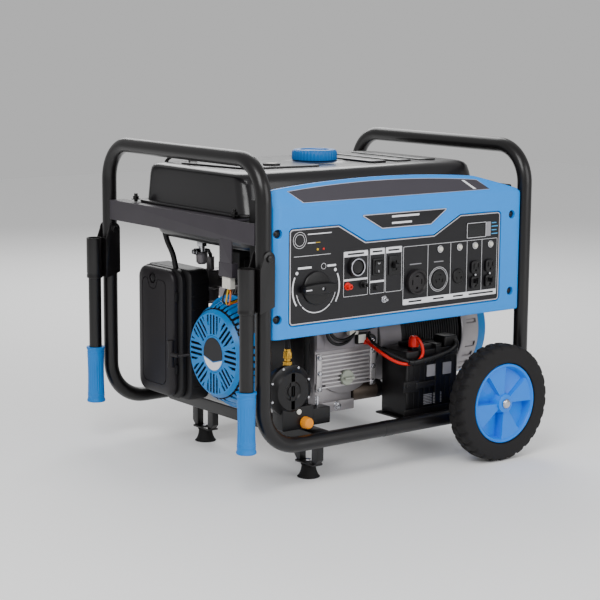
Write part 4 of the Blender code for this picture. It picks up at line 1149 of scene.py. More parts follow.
        self.ink("white_prints", WHITE_INK, strips + dividers + marks,
                 frames + [ring_out, ring_in, self.disc(0.1425, 0.451, 0.0062)])
        captions = [box(0.204, 0.4678, 0.2465, 0.4714), box(0.269, 0.4682, 0.295, 0.4718),
                    box(0.311, 0.4682, 0.341, 0.4718), box(0.368, 0.3555, 0.404, 0.359),
                    box(0.436, 0.3555, 0.467, 0.359), box(0.493, 0.3555, 0.522, 0.359),
                    box(0.538, 0.3555, 0.61, 0.359)]
        low, high = self.plate_y - 0.0003, self.plate_y - 0.0001
        Piece.make("dark_captions", joined([plate(o, low, high, Axis.Y, 0.00004, 1)
                                            for o in captions]), FACEPLATE)
        self.ink("grey_prints", GREY_INK, [box(0.5838, 0.4795, 0.599, 0.5105),
                                           box(0.37, 0.4345, 0.402, 0.4365),
                                           box(0.437, 0.4345, 0.464, 0.4365)])
        self.ink("blue_prints", BLUE_INK, [box(0.6015, z, end, z + 0.002, 0.0004)
                                           for z, end in ((0.483, 0.619), (0.491, 0.616),
                                                          (0.499, 0.62), (0.5065, 0.615))])
        self.ink("yellow_prints", YELLOW_INK, [box(0.12, 0.4995, 0.1335, 0.5005, 0.0002)])
        self.ink("socket_ring_print", WHITE_INK, [],
                 [self.disc(0.451, 0.398, 0.0262), self.disc(0.451, 0.398, 0.023)])

    def lamps(self) -> None:
        """Two warning lamps, the hour display and the ground stud."""
        for name, x, finish in (("yellow", 0.127, YELLOW_INK), ("red", 0.142, RED)):
            dome = lathe([(0.0, -0.0022), (0.0014, -0.0019), (0.0023, -0.0009), (0.0025, 0.0005),
                          (0.0, 0.0005)][::-1], (x, self.plate_y, 0.486), Axis.Y, 24)
            Piece.make("lamp_" + name, dome, finish)
        frame_box = rectangle((0.5285, 0.479), (0.5836, 0.511), 0.002, 3)
        window = rectangle((0.533, 0.4835), (0.579, 0.5065), 0.001, 3)
        Piece.make("display_bezel", plate(frame_box, self.plate_y - 0.0016, self.plate_y + 0.0005,
                                          Axis.Y, 0.0006), SOCKET)
        Piece.make("display_glass", plate(window, self.plate_y - 0.0019, self.plate_y - 0.001,
                                          Axis.Y, 0.0002, 1), GLASS)
        Piece.make("display_line", band(frame_box, 0.0008, self.plate_y - 0.0019,
                                        self.plate_y - 0.0014), WHITE_INK)
        spot = (0.302, self.plate_y, 0.369)
        stud = joined([ring(spot, Axis.Y, 0.002, 0.0075, -0.0012, 0.0005),
                       hexagon(spot, Axis.Y, 0.0058, -0.005, -0.001),
                       rod(spot, Axis.Y, 0.0028, -0.0105, 0.0, 0.0005, 20)])
        Piece.make("ground_stud", stud, ZINC)

    def switches(self) -> None:
        """The selector knob, start button, posts, rocker, reset button and main breaker."""
        base, (kx, kz) = self.plate_y - 0.0003, self.knob
        disc = lathe([(0.0, -0.0052), (0.03, -0.0052), (0.0325, -0.0046), (0.0338, -0.0032),
                      (0.034, 0.0), (0.0, 0.0)][::-1], (kx, base, kz), Axis.Y, 72)
        waist = filleted([(kx - 0.042, kz - 0.0085), (kx - 0.012, kz - 0.011),
                          (kx + 0.012, kz - 0.011), (kx + 0.042, kz - 0.0085),
                          (kx + 0.042, kz + 0.0085), (kx + 0.012, kz + 0.011),
                          (kx - 0.012, kz + 0.011), (kx - 0.042, kz + 0.0085)],
                         [0.006, 0.02, 0.02, 0.006, 0.006, 0.02, 0.02, 0.006], 6)
        bar = plate(waist, base - 0.0208, base - 0.004, Axis.Y, 0.0028, 5)
        screw = rod((kx + 0.004, 0, kz), Axis.Y, 0.004, base - 0.021, base - 0.012, 0.0004)
        Piece.make("selector_knob", disc + bar, SOCKET, "fuel_selector", "fuel_selector_knob",
                   cuts=[screw])
        Piece.make("selector_screw", rod((kx + 0.004, 0, kz), Axis.Y, 0.0034, base - 0.0185,
                                         base - 0.012), ZINC, "fuel_selector")
        pointer = rectangle((kx - 0.0405, kz - 0.0011), (kx - 0.026, kz + 0.0011), 0.0005, 2)
        Piece.make("selector_pointer", plate(pointer, base - 0.021, base - 0.02, Axis.Y,
                                             0.0002, 1), WHITE_INK, "fuel_selector")
        start = (0.2238, self.plate_y, 0.4432)
        bezel = lathe([(0.0146, 0.001), (0.0146, -0.007), (0.0152, -0.0102), (0.0165, -0.0108),
                       (0.0188, -0.0104), (0.0197, -0.009), (0.0199, 0.001)], start, Axis.Y, 60)
        Piece.make("start_bezel", bezel, SOCKET)
        Piece.make("start_ring", ring(start, Axis.Y, 0.0158, 0.018, -0.0111, -0.01), TRIM)
        button = lathe([(0.0, -0.008), (0.0085, -0.0084), (0.012, -0.009), (0.0133, -0.0084),
                        (0.014, -0.0072), (0.014, 0.0), (0.0, 0.0)][::-1],
                       (0.2238, base, 0.4432), Axis.Y, 48)
        Piece.make("start_button_cap", button, MOULDED, "start_button", "start_button")
        for name, x, finish in (("red", 0.204, RED), ("black", 0.244, SOCKET)):
            post = lathe([(0.0, -0.0125), (0.004, -0.0125), (0.0055, -0.0115), (0.0058, -0.003),
                          (0.0078, -0.0026), (0.0082, 0.0005), (0.0, 0.0005)][::-1],
                         (x, self.plate_y, 0.4045), Axis.Y, 36)
            hole = rod((x, 0, 0.4045), Axis.Y, 0.0022, -0.03, self.plate_y - 0.004)
            Piece.make("supply_post_" + name, post, finish, cuts=[hole])
        self.rocker(base)
        self.breakers(base)

    def rocker(self, base: float) -> None:
        """A rocker in its bezel, and the small reset button below it."""
        bezel = plate(rectangle((0.269, 0.421), (0.2975, 0.456), 0.003, 4),
                      self.plate_y - 0.0028, self.plate_y + 0.0003, Axis.Y, 0.0009)
        hole = block((0.2725, -0.03, 0.4245), (0.2935, self.plate_y - 0.0002, 0.452), 0.0015,
                     0.0003)
        Piece.make("rocker_bezel", bezel, SOCKET, cuts=[hole])
        side = [(-0.0022, -0.012), (-0.0041, -0.0125), (-0.0034, 0.0), (-0.005, 0.0125),
                (-0.0022, 0.0122)]
        outline = filleted([(base + y, 0.438 + z) for y, z in side],
                           [0.0004, 0.0008, 0.02, 0.0008, 0.0004], 4)
        Piece.make("rocker_paddle", plate(outline, 0.2738, 0.2922, Axis.X, 0.0006), MOULDED,
                   "engine_switch", "engine_switch_rocker")
        mark = band(self.disc(0.283, 0.4465, 0.0024), 0.0006, base - 0.00462, base - 0.0038)
        bar = block((0.2826, base - 0.0043, 0.4268), (0.2834, base - 0.0034, 0.4318), 0.0002,
                    0.0001)
        Piece.make("rocker_marks", mark + bar, WHITE_INK, "engine_switch")
        reset = (0.278, base, 0.396)
        Piece.make("reset_collar", ring((0.278, self.plate_y, 0.396), Axis.Y, 0.0045, 0.0066,
                                        -0.0022, 0.0005), SOCKET)
        cap = lathe([(0.0, -0.006), (0.0026, -0.006), (0.0036, -0.0055), (0.004, -0.0045),
                     (0.004, 0.0), (0.0, 0.0)][::-1], reset, Axis.Y, 32)
        Piece.make("reset_button_cap", cap, SOCKET_GREY, "reset_button", "reset_button")

    def breakers(self, base: float) -> None:
        """The main breaker's toggle and the four push-to-reset breakers."""
        bezel = plate(rectangle((0.312, 0.418), (0.34, 0.458), 0.002, 4),
                      self.plate_y - 0.0026, self.plate_y + 0.0003, Axis.Y, 0.0008)
        slot = block((0.3192, -0.03, 0.4275), (0.3328, self.plate_y - 0.0001, 0.4485), 0.001,
                     0.0003)
        Piece.make("main_breaker_body", bezel, SOCKET, cuts=[slot])
        side = filleted([(base - 0.0025, 0.4322), (base - 0.0138, 0.4335), (base - 0.0138, 0.4425),
                         (base - 0.0025, 0.4438)], [0.001, 0.0025, 0.0025, 0.001], 4)
        Piece.make("main_breaker_toggle", plate(side, 0.3202, 0.3318, Axis.X, 0.0012), MOULDED,
                   "main_breaker", "main_breaker_lever")
        for number, x in enumerate((0.453, 0.508, 0.553, 0.598), start=1):
            place = (x, base, 0.462)
            t = np.arange(12) * pi / 6
            nut = np.stack([x + 0.008 * np.cos(t), 0.462 + 0.008 * np.sin(t)], 1)
            bore = rod(place, Axis.Y, 0.0055, -0.03, 0.03)
            Piece.make("breaker_nut_%d" % number, plate(nut, base - 0.0022, base + 0.0002, Axis.Y,
                                                        0.0005), ZINC, cuts=[bore])
            button = lathe([(0.0, -0.0058), (0.0036, -0.006), (0.0046, -0.0052),
                            (0.005, -0.004), (0.005, 0.0), (0.0, 0.0)][::-1], place, Axis.Y, 36)
            Piece.make("breaker_cap_%d" % number, button, WHITE, "breaker_button_%d" % number,
                       "breaker_button_%d" % number)

    def sockets(self) -> None:
        """The round sockets with their curved slots, and two flat twin sockets."""
        base = self.plate_y - 0.0003
        x, z = 0.386, 0.398
        body = lathe([(0.0, -0.0062), (0.0205, -0.0062), (0.0215, -0.0088), (0.0225, -0.0098),
                      (0.025, -0.0098), (0.026, -0.0088), (0.0262, 0.0), (0.0, 0.0)][::-1],
                     (x, base, z), Axis.Y, 72)
        front, sunk = base - 0.02, base - 0.0008
        slots = ((-0.0138, -0.0055, -0.0112, 0.0055), (0.0112, -0.0055, 0.0138, 0.0055),
                 (-0.004, 0.011, 0.004, 0.014))
        cuts = [block((x + x0, front, z + z0), (x + x1, sunk, z + z1), 0.0006, 0.0002)
                for x0, z0, x1, z1 in slots]
        cuts += [rod((x, 0, z - 0.0125), Axis.Y, 0.0031, front, sunk, 0.0002, 24)]
        Piece.make("large_socket", body, SOCKET_GREY, node="outlet_large_round", cuts=cuts)
        x = 0.451
        face = lathe([(0.0, -0.0024), (0.017, -0.0024), (0.0178, -0.003), (0.0195, -0.003),
                      (0.0204, -0.0022), (0.0205, 0.0), (0.0, 0.0)][::-1], (x, base, z), Axis.Y, 60)
        cuts = [plate(self.arc((x, z), 0.0098, 0.0024, a - span, a + span), front, base - 0.0006,
                      Axis.Y, 0.0001, 1) for a, span in ((90, 28), (200, 24), (340, 24))]
        cuts.append(rod((x, 0, z), Axis.Y, 0.0018, front, base - 0.0006, 0.0002, 20))
        Piece.make("twist_lock_socket", face, SOCKET, node="outlet_twist_lock", cuts=cuts)
        x, z = 0.507, 0.4
        face = lathe([(0.0, -0.0022), (0.013, -0.0022), (0.0138, -0.0028), (0.0152, -0.0028),
                      (0.016, -0.0018), (0.0161, 0.0), (0.0, 0.0)][::-1], (x, base, z), Axis.Y, 48)
        cuts = [plate(self.arc((x, z), 0.0075, 0.002, a - 24, a + 24), front, base - 0.0005,
                      Axis.Y, 0.0001, 1) for a in (90, 210, 330)]
        Piece.make("small_round_socket", face, SOCKET, cuts=cuts)
        for name, x in (("left", 0.554), ("right", 0.596)):
            self.duplex(name, x, base)

    def duplex(self, name: str, x: float, base: float) -> None:
        """A twin socket: a frame, two raised faces, and six openings."""
        z = 0.399
        body = block((x - 0.0155, base - 0.003, z - 0.0335), (x + 0.0155, base, z + 0.0335),
                     0.0022, 0.0007)
        faces = [block((x - 0.013, base - 0.0049, middle - 0.0135),
                       (x + 0.013, base - 0.0025, middle + 0.0135), 0.0075, 0.0007)
                 for middle in (z - 0.0165, z + 0.0165)]
        cuts, front, sunk = [], base - 0.02, base - 0.0008
        for middle, slot_z in ((z - 0.0165, z - 0.013), (z + 0.0165, z + 0.02)):
            for side in (-1, 1):
                low = (x + side * 0.0063 - 0.001, front, slot_z - 0.0045)
                high = (x + side * 0.0063 + 0.001, sunk, slot_z + 0.0045)
                cuts.append(block(low, high, 0.0003, 0.0001))
            cuts.append(rod((x, 0, middle - 0.0065), Axis.Y, 0.0022, front, sunk, 0.0002, 20))
        made = Piece.make("twin_socket_" + name, body + joined(faces), SOCKET,
                          node="outlet_duplex_" + name)
        for cut in cuts:
            Piece.carve(made, cut)
        Piece.make("twin_socket_screw_" + name, rod((x, 0, z), Axis.Y, 0.0026, base - 0.004,
                                                    base - 0.002, 0.0004, 20), ZINC)

    def build(self) -> None:
        """Makes the panel's pieces."""
        self.housing()
        self.header()
        self.faceplate()
        self.prints()
        self.lamps()
        self.switches()
        self.sockets()


# ---------------------------------------------------------------- engine

@dataclass
class Engine:
    """The crankcase with its ribbed side cover, the leaning cylinder and the muffler."""

    axis_y: float = CRANK_Y
    axis_z: float = CRANK_Z
    low_x: float = 0.225
    high_x: float = 0.395

    def crankcase(self) -> None:
        """A casting with a sump, and a side cover with nine ribs between two flanges."""
        case = block((self.low_x, 0.1225, 0.166), (self.high_x, 0.339, 0.344), 0.012, 0.003,
                     Axis.X)
        sump = block((self.low_x + 0.002, 0.127, 0.111), (0.329, 0.335, 0.17), 0.008, 0.003,
                     Axis.X)
        cavity = [rod((0, self.axis_y, self.axis_z), Axis.X, 0.068, self.low_x + 0.028,
                      self.high_x - 0.028, 0.001, 48),
                  rod((0, self.axis_y, self.axis_z), Axis.X, 0.0156, 0.0, 0.6, 0.0004, 32)]
        Piece.make("crankcase_casting", case + sump, CAST, node="crankcase", cuts=cavity)
        ribs = [block((0.24, 0.119, z), (0.376, 0.124, z + 0.004), 0.0012, 0.001)
                for z in np.linspace(0.164, 0.232, 9)]
        flanges = [block((x, 0.1186, 0.157), (x + 0.014, 0.124, 0.24), 0.003, 0.0012)
                   for x in (0.228, 0.374)]
        Piece.make("side_cover_ribs", joined(ribs + flanges), BRIGHT_CAST)
        spots = [(x, z) for x in (0.235, 0.381) for z in (0.164, 0.198, 0.232)]
        bolts = [joined([hexagon((x, 0.1186, z), Axis.Y, 0.0048, -0.0036, 0.0005),
                         ring((x, 0.1186, z), Axis.Y, 0.002, 0.0062, -0.0008, 0.001)])
                 for x, z in spots]
        Piece.make("side_cover_bolts", joined(bolts), ZINC)
        guard = [block((self.low_x + 0.001, 0.1195, 0.244), (0.33, 0.124, 0.342), 0.004,
                       0.002),
                 block((0.33, 0.1205, 0.244), (self.high_x - 0.0005, 0.124, 0.342), 0.004,
                       0.001),
                 block((self.low_x + 0.001, 0.118, 0.25), (0.248, 0.124, 0.338), 0.004,
                       0.002)]
        Piece.make("case_guard", joined(guard), GREY_CAST)
        foot = block((0.23, 0.1215, 0.1105), (0.332, 0.1275, 0.133), 0.003, 0.001)
        arch = plate(self.arch_outline(), 0.1212, 0.126, Axis.Y, 0.0012)
        Piece.make("foot_plate", foot + arch, CAST)
        Piece.make("drain_bolt", hexagon((0.285, 0.1215, 0.123), Axis.Y, 0.007, -0.006, 0.001)
                   + ring((0.285, 0.1215, 0.123), Axis.Y, 0.004, 0.009, -0.0012, 0.0005), ZINC)

    def arch_outline(self) -> Array:
        """A web under the side cover: straight above and an arc below."""
        t = np.radians(np.linspace(200, 340, 20))
        arc = np.stack([0.308 + 0.06 * np.cos(t), 0.182 + 0.034 * np.sin(t)], 1)
        return np.vstack([[(0.364, 0.172), (0.252, 0.172)], arc])

    def cylinder(self) -> None:
        """Thin square fins, a barrel and a head, all leaning back 25 degrees, and the plug cap."""
        middle = np.array([0.31, 0.445, 0.335])
        fins = [block(tuple(middle + (-0.064, y, -0.064)),
                      tuple(middle + (0.064, y + 0.0026, 0.064)), 0.008, 0.0008)
                for y in np.arange(-0.072, 0.03, 0.0085)]
        barrel = block(tuple(middle + (-0.048, -0.073, -0.048)),
                       tuple(middle + (0.048, 0.074, 0.048)), 0.016, 0.001)
        head = block(tuple(middle + (-0.058, 0.034, -0.058)), tuple(middle + (0.058, 0.074, 0.058)),
                     0.01, 0.004)
        shape = joined([*fins, barrel, head]).turned((25, 0, 0), tuple(middle))
        Piece.make("cylinder_and_head", shape, CAST, node="cylinder_block")
        plug = lathe([(0.0, -0.004), (0.0095, -0.004), (0.0095, 0.01), (0.007, 0.013),
                      (0.007, 0.026), (0.0, 0.028)], tuple(middle + (-0.03, 0.0, 0.06)),
                     Axis.Z, 24).turned((25, 0, 0), tuple(middle))
        Piece.make("spark_plug_cap", plug, WIRE_BLACK)

    def muffler(self) -> None:
        """A heat-tinted drum whose radius swells in a narrow bell curve at each of two beads."""
        x = np.linspace(0.412, 0.628, 80)
        bead = 0.053 + 0.001 * np.exp(-((x - 0.44) / 0.003) ** 2)
        bead += 0.001 * np.exp(-((x - 0.6) / 0.003) ** 2)
        profile = [(0.0, 0.4005), (0.04, 0.4005), (0.048, 0.403), (0.0525, 0.408),
                   *zip(bead, x), (0.0525, 0.632), (0.048, 0.637), (0.04, 0.6395),
                   (0.0, 0.6395)]
        Piece.make("muffler_drum", lathe(profile, (0.0, 0.47, 0.39), Axis.X, 64), HEATED,
                   node="muffler")

    def starter(self) -> None:
        """The starter motor's can and its black end cap."""
        can = lathe([(0.0, 0.3345), (0.018, 0.3345), (0.0195, 0.336), (0.0197, 0.402),
                     (0.0, 0.402)], (0.0, 0.146, 0.141), Axis.X, 48)
        Piece.make("starter_can", can, HEATED, node="starter_motor")
        cap = lathe([(0.0, 0.4022), (0.0199, 0.4022), (0.0199, 0.417), (0.0185, 0.42),
                     (0.009, 0.42), (0.0085, 0.4208), (0.0, 0.4208)], (0.0, 0.146, 0.141),
                    Axis.X, 48)
        Piece.make("starter_end_cap", cap, MOULDED)

    def filler_cap(self) -> None:
        """The grey-green oil cap: a knurled flange and a waisted wing to turn it by."""
        spot = (0.308, 0.1216, 0.182)

        def knurl(angle: Array, radius: Array, along: Array) -> tuple[Array, Array]:
            """Twenty shallow notches in the flange."""
            notch = 0.0006 * (np.cos(20 * angle) > 0.4)
            return radius - np.where(radius > 0.016, notch, 0.0), along

        flange = lathe([(0.0, 0.0), (0.016, 0.0), (0.017, -0.0015), (0.017, -0.006),
                        (0.0155, -0.008), (0.0, -0.0085)], spot, Axis.Y, 120, knurl)
        x, y, z = spot
        wing = plate(filleted([(x - 0.013, z - 0.0028), (x, z - 0.002), (x + 0.013, z - 0.0028),
                               (x + 0.013, z + 0.0028), (x, z + 0.002), (x - 0.013, z + 0.0028)],
                              [0.002, 0.03, 0.002, 0.002, 0.03, 0.002], 4),
                     y - 0.016, y - 0.007, Axis.Y, 0.0012)
        Piece.make("oil_cap_moulding", flange + wing, OIL_GREY, "oil_filler_cap", "oil_filler_cap")

    def carburettor(self) -> None:
        """A cast body with a flange at each end, a float bowl below and a fuel inlet above."""
        body = block((0.141, 0.4035, 0.351), (0.239, 0.4445, 0.391), 0.006, 0.0015, Axis.X)
        flanges = [block((x, 0.4, 0.346), (x + 0.006, 0.448, 0.396), 0.01, 0.001, Axis.X)
                   for x in (0.1395, 0.2345)]
        bowl = lathe([(0.0, 0.315), (0.006, 0.315), (0.0065, 0.3175), (0.015, 0.319),
                      (0.0185, 0.323), (0.019, 0.348), (0.0205, 0.35), (0.0205, 0.354),
                      (0.0, 0.354)], (0.165, 0.424, 0.0), steps=48)
        inlet = rod((0.165, 0.424, 0.0), Axis.Z, 0.0088, 0.389, 0.4195)
        Piece.make("carburettor_casting", joined([body, *flanges, bowl, inlet]), CAST,
                   node="carburettor")

    def build(self) -> None:
        """Makes the engine's pieces."""
        self.crankcase()
        self.cylinder()
        self.muffler()
        self.starter()
        self.filler_cap()
        self.carburettor()
        dress("crankshaft", STEEL)
        dress("flywheel_fan", CAST)


@dataclass
class RecoilStarter:
    """The blue pull-start cover with its louvres, the shroud behind it and the grip."""

    axis_y: float = CRANK_Y
    axis_z: float = CRANK_Z
    face_x: float = 0.045

    def cover(self) -> None:
        """A flat front ring and a cone to the shroud, grooves along both, a badge and bolts."""
        x = self.face_x
        r = np.concatenate([[0.0, 0.03, 0.0355, 0.0375], np.linspace(0.0395, 0.086, 60)])
        front = [(0.0, x + 0.0012), (0.03, x + 0.0012), (0.0355, x + 0.0012), (0.0375, x + 0.003)]
        front += [(v, x + 0.0005) for v in r[4:]]
        side_t = np.linspace(0.04, 0.97, 36)
        side = [(0.089 + 0.0065 * min(1, t * 3) + 0.0175 * t, x + 0.0035 + 0.044 * t)
                for t in side_t]
        rim = [(0.116, x + 0.05), (0.12, x + 0.051), (0.1205, x + 0.0545),
               (0.108, x + 0.0548), (0.093, x + 0.018), (0.085, x + 0.008), (0.0, x + 0.008)]

        def louvres(angle: Array, radius: Array, along: Array) -> tuple[Array, Array]:
            """Parallel grooves in eight sectors of the face, and radial ones down the cone."""
            across = radius * np.cos(angle)
            up = radius * np.sin(angle)
            turn = np.degrees(angle) % 360.0
            sector = np.floor(((turn + 22.5) % 360.0) / 45.0).astype(int)
            edge = 22.5 - np.abs((turn + 22.5) % 45.0 - 22.5)
            lean = np.array([0.0, 45.0, 90.0, 135.0, 0.0, 45.0, 90.0, 135.0])[sector]
            place = up * np.cos(np.radians(lean)) - across * np.sin(np.radians(lean))
            wave = np.clip(6.0 * np.sin(2 * pi * place / 0.0112) - 0.6, 0.0, 1.0)
            width = radius * np.radians(edge)
            inside = np.clip((width - 0.005) / 0.0008, 0.0, 1.0)
            on_face = (along < x + 0.001) & (radius > 0.0425) & (radius < 0.0835)
            groove = 0.006 * wave * inside * on_face
            slots = np.clip(6.0 * np.sin(44 * angle) - 1.0, 0.0, 1.0)
            solid = np.clip((width * 1.1 - 0.0062) / 0.0015, 0.0, 1.0)
            on_cone = (along > x + 0.0085) & (along < x + 0.04) & (radius > 0.0935)
            return (radius - 0.0045 * slots * solid * on_cone, along + groove)

        shape = lathe(front + side + rim, (0.0, self.axis_y, self.axis_z), Axis.X, 720, louvres)
        cover = Piece.make("pull_start_cover", shape, STARTER_BLUE, node="recoil_cover", smooth=24)
        # Painted shade: the slot bottoms get flat black for the dark seen through the slots.
        self.paint_slot_shade(cover)
        spot = (0.0, self.axis_y, self.axis_z)
        t = np.radians(np.linspace(-12, 192, 48))
        upper = np.stack([self.axis_y + 0.0345 * np.cos(t), self.axis_z + 0.0345 * np.sin(t)], 1)
        upper = np.vstack([upper, [(self.axis_y, self.axis_z - 0.016)]])
        Piece.make("centre_badge_upper", plate(upper, x - 0.0003, x + 0.002, Axis.X, 0.0002, 1),
                   FACEPLATE)
        t = np.radians(np.linspace(196, 344, 30))
        lower = np.stack([self.axis_y + 0.0345 * np.cos(t), self.axis_z + 0.0345 * np.sin(t)], 1)
        lower = np.vstack([lower, [(self.axis_y, self.axis_z - 0.0188)]])
        Piece.make("centre_badge_lower", plate(lower, x - 0.0003, x + 0.002, Axis.X, 0.0002, 1),
                   WHITE_INK)
        Piece.make("centre_badge_ring", ring(spot, Axis.X, 0.0346, 0.0385, x + 0.0002, x + 0.004),
                   STARTER_BLUE)
        bolts = [hexagon((x, self.axis_y + 0.115 * cos(radians(a)),
                          self.axis_z + 0.115 * sin(radians(a))), Axis.X, 0.0045, 0.0455, 0.0515)
                 for a in (35, 125, 245, 305)]
        Piece.make("cover_bolts", joined(bolts), ZINC)

    def paint_slot_shade(self, cover: bpy.types.Object) -> None:
        """Paints shade on the faces at the bottom of the cover's slots: flat black for the dark
        seen through the slots.

        A face is at the bottom where its centre is well behind the flat front, or well inside
        the cone.
        """
        cover.data.materials.append(PAINTED_SHADE.material())
        centres = np.empty(3 * len(cover.data.polygons))
        cover.data.polygons.foreach_get("center", centres)
        x, y, z = (centres.reshape(-1, 3) - ORIGIN).T
        radius = np.hypot(y - self.axis_y, z - self.axis_z)
        front = (radius > 0.0415) & (radius < 0.0845) & (x > self.face_x + 0.0022)
        front &= x < self.face_x + 0.0078
        cone = 0.0952 + 0.0175 * (x - self.face_x - 0.0035) / 0.044 - radius
        side = (x > self.face_x + 0.009) & (x < self.face_x + 0.04) & (cone > 0.0022)
        side &= cone < 0.007
        # Faces that get the painted shade.
        slot_shade_faces = (front | side).astype(np.int32)
        cover.data.polygons.foreach_set("material_index", slot_shade_faces)

    def shroud(self) -> None:
        """A black ring round the fan, a duct up to the cylinder and a plain cover over it."""
        spot = (0.0, self.axis_y, self.axis_z)
        ring_shape = lathe([(0.112, 0.1006), (0.118, 0.1006), (0.1205, 0.102), (0.1209, 0.13),
                            (0.1195, 0.162), (0.117, 0.1648), (0.0245, 0.1648), (0.0245, 0.1585),
                            (0.112, 0.1585)], spot, Axis.X, 96)
        duct = block((0.15, 0.248, 0.256), (0.223, 0.3755, 0.3815), 0.01, 0.002, Axis.X)
        hollow = [block((0.145, 0.26, 0.26), (0.2195, 0.4, 0.377), 0.006, 0.001, Axis.X)]
        Piece.make("shroud_ring", ring_shape, MOULDED, node="fan_shroud")
        Piece.make("shroud_duct", duct, MOULDED, cuts=hollow)
        coil = block((0.148, 0.29, 0.3812), (0.233, 0.335, 0.448), 0.008, 0.002, Axis.Y)
        coil += block((0.16, 0.286, 0.395), (0.21, 0.2905, 0.43), 0.004, 0.001, Axis.Y)
        Piece.make("coil_cover", coil, MOULDED)

    def grip(self) -> None:
        """A waisted T-grip on its rope, with a short guide that stays on the cover."""
        spot = (0.036, 0.386, 0.221)
        z = np.linspace(-0.03, 0.03, 40)
        radius = 0.0066 + 0.0019 * np.abs(z / 0.03) ** 2
        ends = np.clip((0.031 - np.abs(z)) / 0.002, 0, 1)
        radius = radius * (0.72 + 0.28 * np.sqrt(ends))
        profile = [(0.0, -0.031), *zip(radius, z), (0.0, 0.031)]
        stem = lathe([(0.0, -0.0278), (0.0036, -0.0278), (0.0046, -0.024), (0.0054, -0.006),
                      (0.0054, 0.0), (0.0, 0.0)], spot, Axis.Y, 28)
        Piece.make("pull_grip", lathe(profile, spot, steps=36) + stem, SOCKET_GREY, "recoil_grip",
                   "recoil_grip")
        start, end = np.array([0.062, 0.345, 0.223]), np.array([0.036, 0.3592, 0.221])
        t = np.linspace(0.0, 1.0, 12)[:, None]
        rope = Piece.make("pull_rope", sweep(start + (end - start) * t, 0.0032, 14), SOCKET_GREY,
                          None)
        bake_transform(rope)
        guide = lathe([(0.003, -0.01), (0.0065, -0.01), (0.008, -0.004), (0.008, 0.006),
                       (0.003, 0.006)], (0.066, 0.342, 0.223), Axis.Y, 28)
        Piece.make("rope_guide", guide, SOCKET_GREY)

    def build(self) -> None:
        """Makes the starter's pieces."""
        self.cover()
        self.shroud()
        self.grip()


@dataclass
class Alternator:
    """The front bell, the laminated body and the slotted end cover."""

    axis_y: float = CRANK_Y
    axis_z: float = CRANK_Z

    def body(self) -> None:
        """A housing whose radius steps in and out in 24 shallow ribs, its band and its bolts."""
        spot = (0.0, self.axis_y, self.axis_z)
        x = np.linspace(0.481, 0.644, 120)
        lamination = 0.1065 + 0.0012 * np.clip(2.5 * np.sin((x - 0.481) * 2 * pi / 0.0068), -1, 1)
        profile = [(0.071, 0.6448), (0.105, 0.6448), *zip(lamination[::-1], x[::-1]),
                   (0.104, 0.471), (0.102, 0.44), (0.0985, 0.4), (0.0965, 0.396),
                   (0.05, 0.3957), (0.05, 0.405), (0.09, 0.41), (0.094, 0.47),
                   (0.071, 0.48)]
        Piece.make("alternator_body", lathe(profile, spot, Axis.X, 96), MOULDED,
                   node="alternator_stator")
        bell = lathe([(0.1008, 0.415), (0.1043, 0.416), (0.1058, 0.469), (0.1062, 0.4745),
                      (0.103, 0.475)], spot, Axis.X, 96)
        Piece.make("front_bell_band", bell, GREY_CAST)
        bolts = [rod((0.0, self.axis_y + 0.102 * cos(a), self.axis_z + 0.102 * sin(a)), Axis.X,
                     0.0048, 0.478, 0.644, 0.001, 16)
                 for a in (radians(v) for v in (45, 135, 225, 315))]
        Piece.make("through_bolts", joined(bolts), POWDER)
        dress("alternator_rotor", COPPER)

    def end_cover(self) -> None:
        """A dished casting with grooves along its rim, and the blue band round its outer face."""
        spot = (0.0, self.axis_y, self.axis_z)
        rim = np.linspace(0.653, 0.708, 30)
        profile = [(0.0156, 0.7), (0.03, 0.7004), (0.04, 0.7006), (0.085, 0.714),
                   (0.106, 0.7205), (0.112, 0.719), (0.1155, 0.715)]
        profile += [(0.1158, v) for v in rim[::-1]]
        profile += [(0.1158, 0.6475), (0.115, 0.6458), (0.112, 0.6458), (0.112, 0.7),
                    (0.04, 0.69), (0.035, 0.66), (0.0156, 0.66)]

        def slots(angle: Array, radius: Array, along: Array) -> tuple[Array, Array]:
            """Grooves 3 mm deep round the rim, broken at each quarter by a plain pad."""
            turn = np.degrees(angle) % 90.0
            gate = np.clip((np.minimum(turn, 90.0 - turn) - 9.0) / 1.5, 0.0, 1.0)
            wave = np.clip(3.0 * np.sin(28 * angle + 0.4) + 0.2, 0.0, 1.0)
            on_rim = (radius > 0.115) & (along > 0.662) & (along < 0.688)
            return radius - 0.0032 * gate * wave * on_rim, along

        Piece.make("end_cover_casting", lathe(profile, spot, Axis.X, 480, slots), CAST,
                   node="alternator_end_cover", smooth=26)
        band_shape = lathe([(0.07, 0.7103), (0.085, 0.7147), (0.106, 0.7212), (0.1125, 0.7211),
                            (0.116, 0.7172), (0.116, 0.696), (0.114, 0.6955),
                            (0.07, 0.706)], spot, Axis.X, 120)
        Piece.make("end_cover_band", band_shape, STARTER_BLUE)

    def build(self) -> None:
        """Makes the alternator's pieces."""
        self.body()
        self.end_cover()


